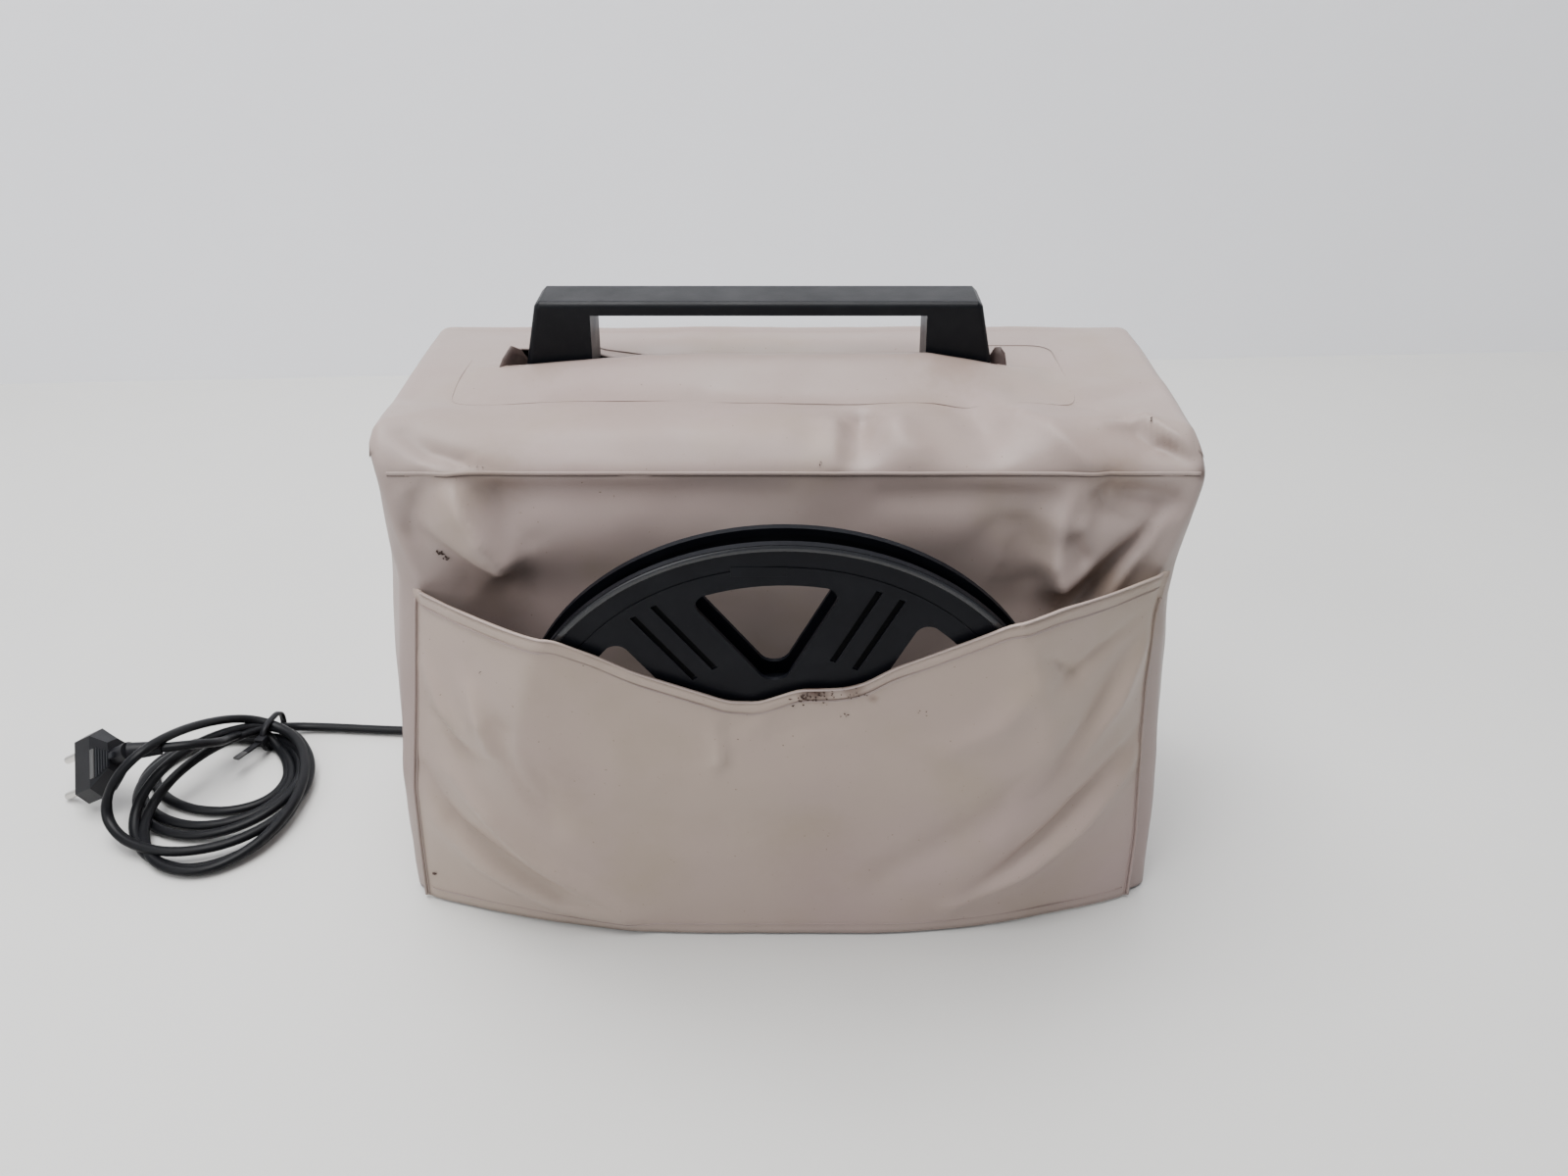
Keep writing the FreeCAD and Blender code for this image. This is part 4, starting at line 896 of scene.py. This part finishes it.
def build_reel_details():
    """The front flange's bright bead, near-black floors laid in its grooves as painted shade, and a small
    blank raised panel.
    """
    lean = math.radians(REEL_LEAN)
    out = np.array([0.0, -math.cos(lean), -math.sin(lean)])
    up = np.array([0.0, -math.sin(lean), math.cos(lean)])
    across = np.array([1.0, 0.0, 0.0])
    centre = np.array([0.0, middle("reel_front_flange", 1), REEL_Z]) + out * RIM_HALF
    angles = np.linspace(0.0, 2 * math.pi, 181)
    ring = [centre - 0.9 * out + (REEL_R - BEAD_R - 0.1) * (math.sin(a) * across + math.cos(a) * up)
            for a in angles]
    tube("reel_rim_bead", ring, BEAD_R, "reel_rim", "reel", cap=False)
    # painted shade: near-black blocks laid in the spokes' grooves, where shade falls
    for k in range(6):
        for sign in (-1, 1):
            angle = math.radians(30 + 60 * k - REEL_PHASE)
            spoke = math.sin(angle) * across + math.cos(angle) * up
            beside = math.cos(angle) * across - math.sin(angle) * up
            floor = centre + GROOVE_REACH * REEL_R * spoke + sign * GROOVE_ASIDE * beside - 0.65 * out
            block(f"reel_groove_shade_{k}_{(sign + 1) // 2}", floor, (spoke, beside, out),
                              (GROOVE_HALF * REEL_R, 1.1, 0.1), "groove_shade", "reel", 0.05)
    label = centre + LABEL_REACH * REEL_R * up - 9.0 * across + out * 0.05
    block("reel_blank_label", label, (across, up, out), (10.0, 2.2, 0.12),
                      "reel_plastic", "reel", 0.1)


# ---- the mains lead ----
LEAD_Y = FRONT + 122.0
LEAD_HALF_W = 2.7
LEAD_FLAT = 0.80
RELIEF_TIP = (-141.0, LEAD_Y, 9.0)
LEAD_ROUTE = [RELIEF_TIP, (-156, LEAD_Y + 0.3, 6.5), (-178, LEAD_Y + 2.0, 3.4), (-212, LEAD_Y + 4.2, 2.8),
              (-244, LEAD_Y + 6.9, 2.8), (-266, LEAD_Y + 7.2, 3.4)]
PLUG_NECK = np.array([-336.0, 62.0])    # where the plug's neck hides the table, seen from the front
# Each turn of the coil: middle x, middle y, half length, half width, lean in degrees, then its
# height at the tie, on the left, at the near side and on the right, and its rise over the plug's neck.
TURNS = np.array([
    (-275, 18.0, 52, 38, -95, 12.0, 7.0, 2.8, 11.0, 12.0),
    (-293, 33.0, 47.5, 56, 21, 6.5, 5.0, 5.5, 8.0, 37.0),
    (-281, 24.5, 42, 56.5, 10, 7.5, 3.5, 2.8, 4.5, 26.0),
    (-286, 34.5, 44, 40, -39, 4.0, 2.8, 2.8, 9.5, 2.0),
    (-288, 38.5, 43, 36, -29, 3.0, 2.8, 2.8, 5.0, 0.0),
    (-290, 43.5, 39, 28, -30, 2.8, 2.8, 2.8, 2.8, 0.0),
])
POINTS_PER_TURN = 14
TIE = np.array([-273.0, 76.0])


def coil_points():
    """Turns that all pass the tie, fan out at the near side, and climb over the plug's neck."""
    points = []
    total = POINTS_PER_TURN * len(TURNS)
    for k in range(1, total):
        turn = k / POINTS_PER_TURN
        place = min(turn, len(TURNS) - 1.001)
        first = int(place)
        share = float(ease((place - first - 0.55) / 0.45)) if first + 1 < len(TURNS) else 0.0
        a, b = TURNS[first], TURNS[min(first + 1, len(TURNS) - 1)]
        angle = 360.0 * (turn % 1.0)
        here = math.radians(68.0 + angle)

        def on_ellipse(row):
            lean = math.radians(row[4])
            c, s = math.cos(here - lean), math.sin(here - lean)
            radius = row[2] * row[3] / math.hypot(row[3] * c, row[2] * s)
            return np.array([row[0] + radius * math.cos(here), row[1] + radius * math.sin(here)])

        flat = (1 - share) * on_ellipse(a) + share * on_ellipse(b)
        row = (1 - share) * a + share * b
        z = float(np.interp(angle, [0, 95, 200, 290, 360], row[[5, 6, 7, 8, 5]]))
        rise = row[9] * float(bump(np.linalg.norm(flat - PLUG_NECK), 46.0))
        flat = EYE[:2] + (flat - EYE[:2]) * (1.0 - rise / EYE[2])
        z += rise
        pull = 0.55 * float(bump(np.linalg.norm(flat - TIE), 20.0))
        flat = flat + pull * (TIE - flat) * np.array([0.0, 1.0])
        points.append((flat[0], flat[1], z))
    return points


PLUG_END = np.array([-305.4, 21.0, 35.6])
PLUG_ROUTE = [(-277, 73, 9.0), (-286, 63, 14.0), (-286, 50, 20.0), (-283, 38, 27.0), (-289, 28, 33.0),
              (-298, 23, 35.3), tuple(PLUG_END)]


def spline_points(route):
    """Points along a NURBS spline whose control points are the route."""
    curve = bpy.data.curves.new("route", "CURVE")
    curve.dimensions = "3D"
    spline = curve.splines.new("NURBS")
    spline.points.add(len(route) - 1)
    for point, place in zip(spline.points, route):
        point.co = (*place, 1.0)
    spline.order_u = 3
    spline.use_endpoint_u = True
    spline.resolution_u = 6
    holder = bpy.data.objects.new("route", curve)
    line = bpy.data.meshes.new_from_object(holder)
    points = np.array([v.co for v in line.vertices])
    bpy.data.meshes.remove(line)
    bpy.data.objects.remove(holder)
    bpy.data.curves.remove(curve)
    return points


def build_lead():
    route = LEAD_ROUTE + coil_points() + PLUG_ROUTE
    points = spline_points(route)
    lead = tube("mains_lead_sheath", points, LEAD_HALF_W, "lead_pvc", "projector", 14, LEAD_FLAT)
    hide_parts("mains_lead", "lead_coil")
    ([nodes["plug_body"], nodes["plug_pins"], nodes["cord_anchor"]]
            + build_plug_details() + build_tie())


PINS_WAY = np.array([-0.814, 0.273, -0.512])       # from the plug's face along its pins
WIDE_WAY = np.array([-0.177, 0.723, 0.668])
THICK_WAY = np.array([-0.553, -0.634, 0.540])
PLUG_FACE = np.array([-347.5, FRONT + 71.7, 17.9])


def block(name, centre, axes, halves, material, body, bevel=0.3):
    """Small box along given axes, with its edges rounded."""
    corners = [centre + a * halves[0] * axes[0] + b * halves[1] * axes[1] + c * halves[2] * axes[2]
               for a, b, c in itertools.product((-1, 1), repeat=3)]
    faces = [(0, 1, 3, 2), (4, 6, 7, 5), (0, 4, 5, 1), (2, 3, 7, 6), (0, 2, 6, 4), (1, 5, 7, 3)]
    thing = mesh_object(name, corners, faces, material, False, body)
    rounding = thing.modifiers.new("rounding", "BEVEL")
    rounding.width = bevel * MM
    rounding.segments = 2
    return thing


def build_plug_details():
    """The grip recess on the plug's upper face: a bar, ribs behind it and a small square boss."""
    axes = (PINS_WAY, WIDE_WAY, THICK_WAY)
    made = []

    def on_face(along_pins, wide, lift):
        slope = min(0.0, along_pins + 13.0) * 1.65 / 13.0
        return PLUG_FACE + along_pins * PINS_WAY + wide * WIDE_WAY + (6.85 + slope + lift) * THICK_WAY

    made.append(block("plug_bar", on_face(-15.0, -1.5, 0.1), axes, (1.5, 7.4, 0.5), "tie_tail",
                      "projector"))
    for k in range(5):
        made.append(block(f"plug_rib_{k}", on_face(-18.4 - 1.9 * k, -1.5, 0.0), axes,
                          (0.5, 7.2 - 0.8 * k, 0.7), "plug_pvc", "projector", 0.2))
    made.append(block("plug_boss", on_face(-29.5, -0.8, 0.6), axes, (1.5, 1.6, 0.9), "plug_pvc",
                      "projector"))
    return made


def build_tie():
    """Strap round the bundle: a closed band, its locking head and its cut tail."""
    way = np.array([math.cos(math.radians(80)), math.sin(math.radians(80)), 0.0])
    across = np.array([way[1], -way[0], 0.0])
    up = np.array([0.0, 0.0, 1.0])
    centre = np.array([-272.5, 74.0, 8.0])
    points = []
    normals = []
    for k in range(33):
        angle = 2 * math.pi * k / 32
        c, s = math.cos(angle), math.sin(angle)
        sideways, upward = np.sign(c) * abs(c) ** 0.6, np.sign(s) * abs(s) ** 0.7
        points.append(centre + way * 10.5 * sideways + up * 7.4 * upward)
        normals.append(way * c + up * s)
    made = [ribbon("tie_band", points, normals, 3.4, 0.9, "black_plastic", "projector", 0.3)]
    head = centre - way * 12.0 + up * 2.0
    made.append(block("tie_head", head, (way, across, up), (2.6, 2.4, 2.2), "black_plastic", "projector"))
    tail_way = np.array([-0.36, -0.93, 0.08])
    tail_across = np.array([0.93, -0.36, 0.0])
    for name, start, reach, tint in (("tie_tail", 2.0, 10.0, "black_plastic"),
                                     ("tie_end", 12.0, 7.0, "tie_tail")):
        middle = head + tail_way * (start + reach / 2)
        made.append(block(name, middle, (tail_way, tail_across, up), (reach / 2, 1.7, 0.6), tint,
                          "projector", 0.2))
    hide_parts("lead_tie")
    return made


# ---- stage ----
def build_stage():
    """Floor and back wall, far larger than what is seen of them."""
    size = 6000.0
    wall_left = np.array([-701.0, 617.0])
    wall_right = np.array([748.0, 706.0])
    way = (wall_right - wall_left) / np.linalg.norm(wall_right - wall_left)
    a, b = wall_left - way * size, wall_right + way * size
    square = [(0, 1, 2, 3)]
    floor = mesh_object("floor", [(-size, -size, 0), (size, -size, 0), (*b, 0), (*a, 0)], square, "floor")
    wall = mesh_object("wall", [(*a, 0), (*b, 0), (*b, size), (*a, size)], square, "wall")


def put_in_scene(name, data, place, turn):
    holder = bpy.data.objects.new(name, data)
    holder.location = Vector(place) * MM
    holder.rotation_euler = turn
    bpy.context.scene.collection.objects.link(holder)
    return holder


def area_light(name, place, target, size, power):
    light = bpy.data.lights.new(name, "AREA")
    light.shape = "RECTANGLE"
    light.size = size[0] * MM
    light.size_y = size[1] * MM
    light.energy = power
    aim = Vector(target) - Vector(place)
    put_in_scene(name, light, place, aim.to_track_quat("-Z", "Y").to_euler())


def build_lights():
    world = bpy.data.worlds.new("studio")
    world.use_nodes = True
    fill(world.node_tree.nodes["Background"], {"Color": (0.93, 0.95, 1.0, 1.0), "Strength": 0.45})
    bpy.context.scene.world = world
    area_light("overhead", (-330, -60, 2200), (0, 0, 0), (1900, 1400), 86.0)
    area_light("front_left", (-1500, -1400, 1300), (0, 0, 120), (1400, 1400), 19.0)


def build_camera():
    camera = bpy.data.cameras.new("camera")
    camera.lens = LENS
    camera.sensor_width = 36.0
    camera.clip_start = 0.01
    bpy.context.scene.camera = put_in_scene("camera", camera, EYE, (math.radians(90.0 - PITCH), 0.0, 0.0))


build_camera()
build_lights()
build_stage()
dress_cad_nodes()
build_lead()
build_reel_details()
cover_sheet = build_cover()
pocket_sheet = build_pocket()
build_seams()
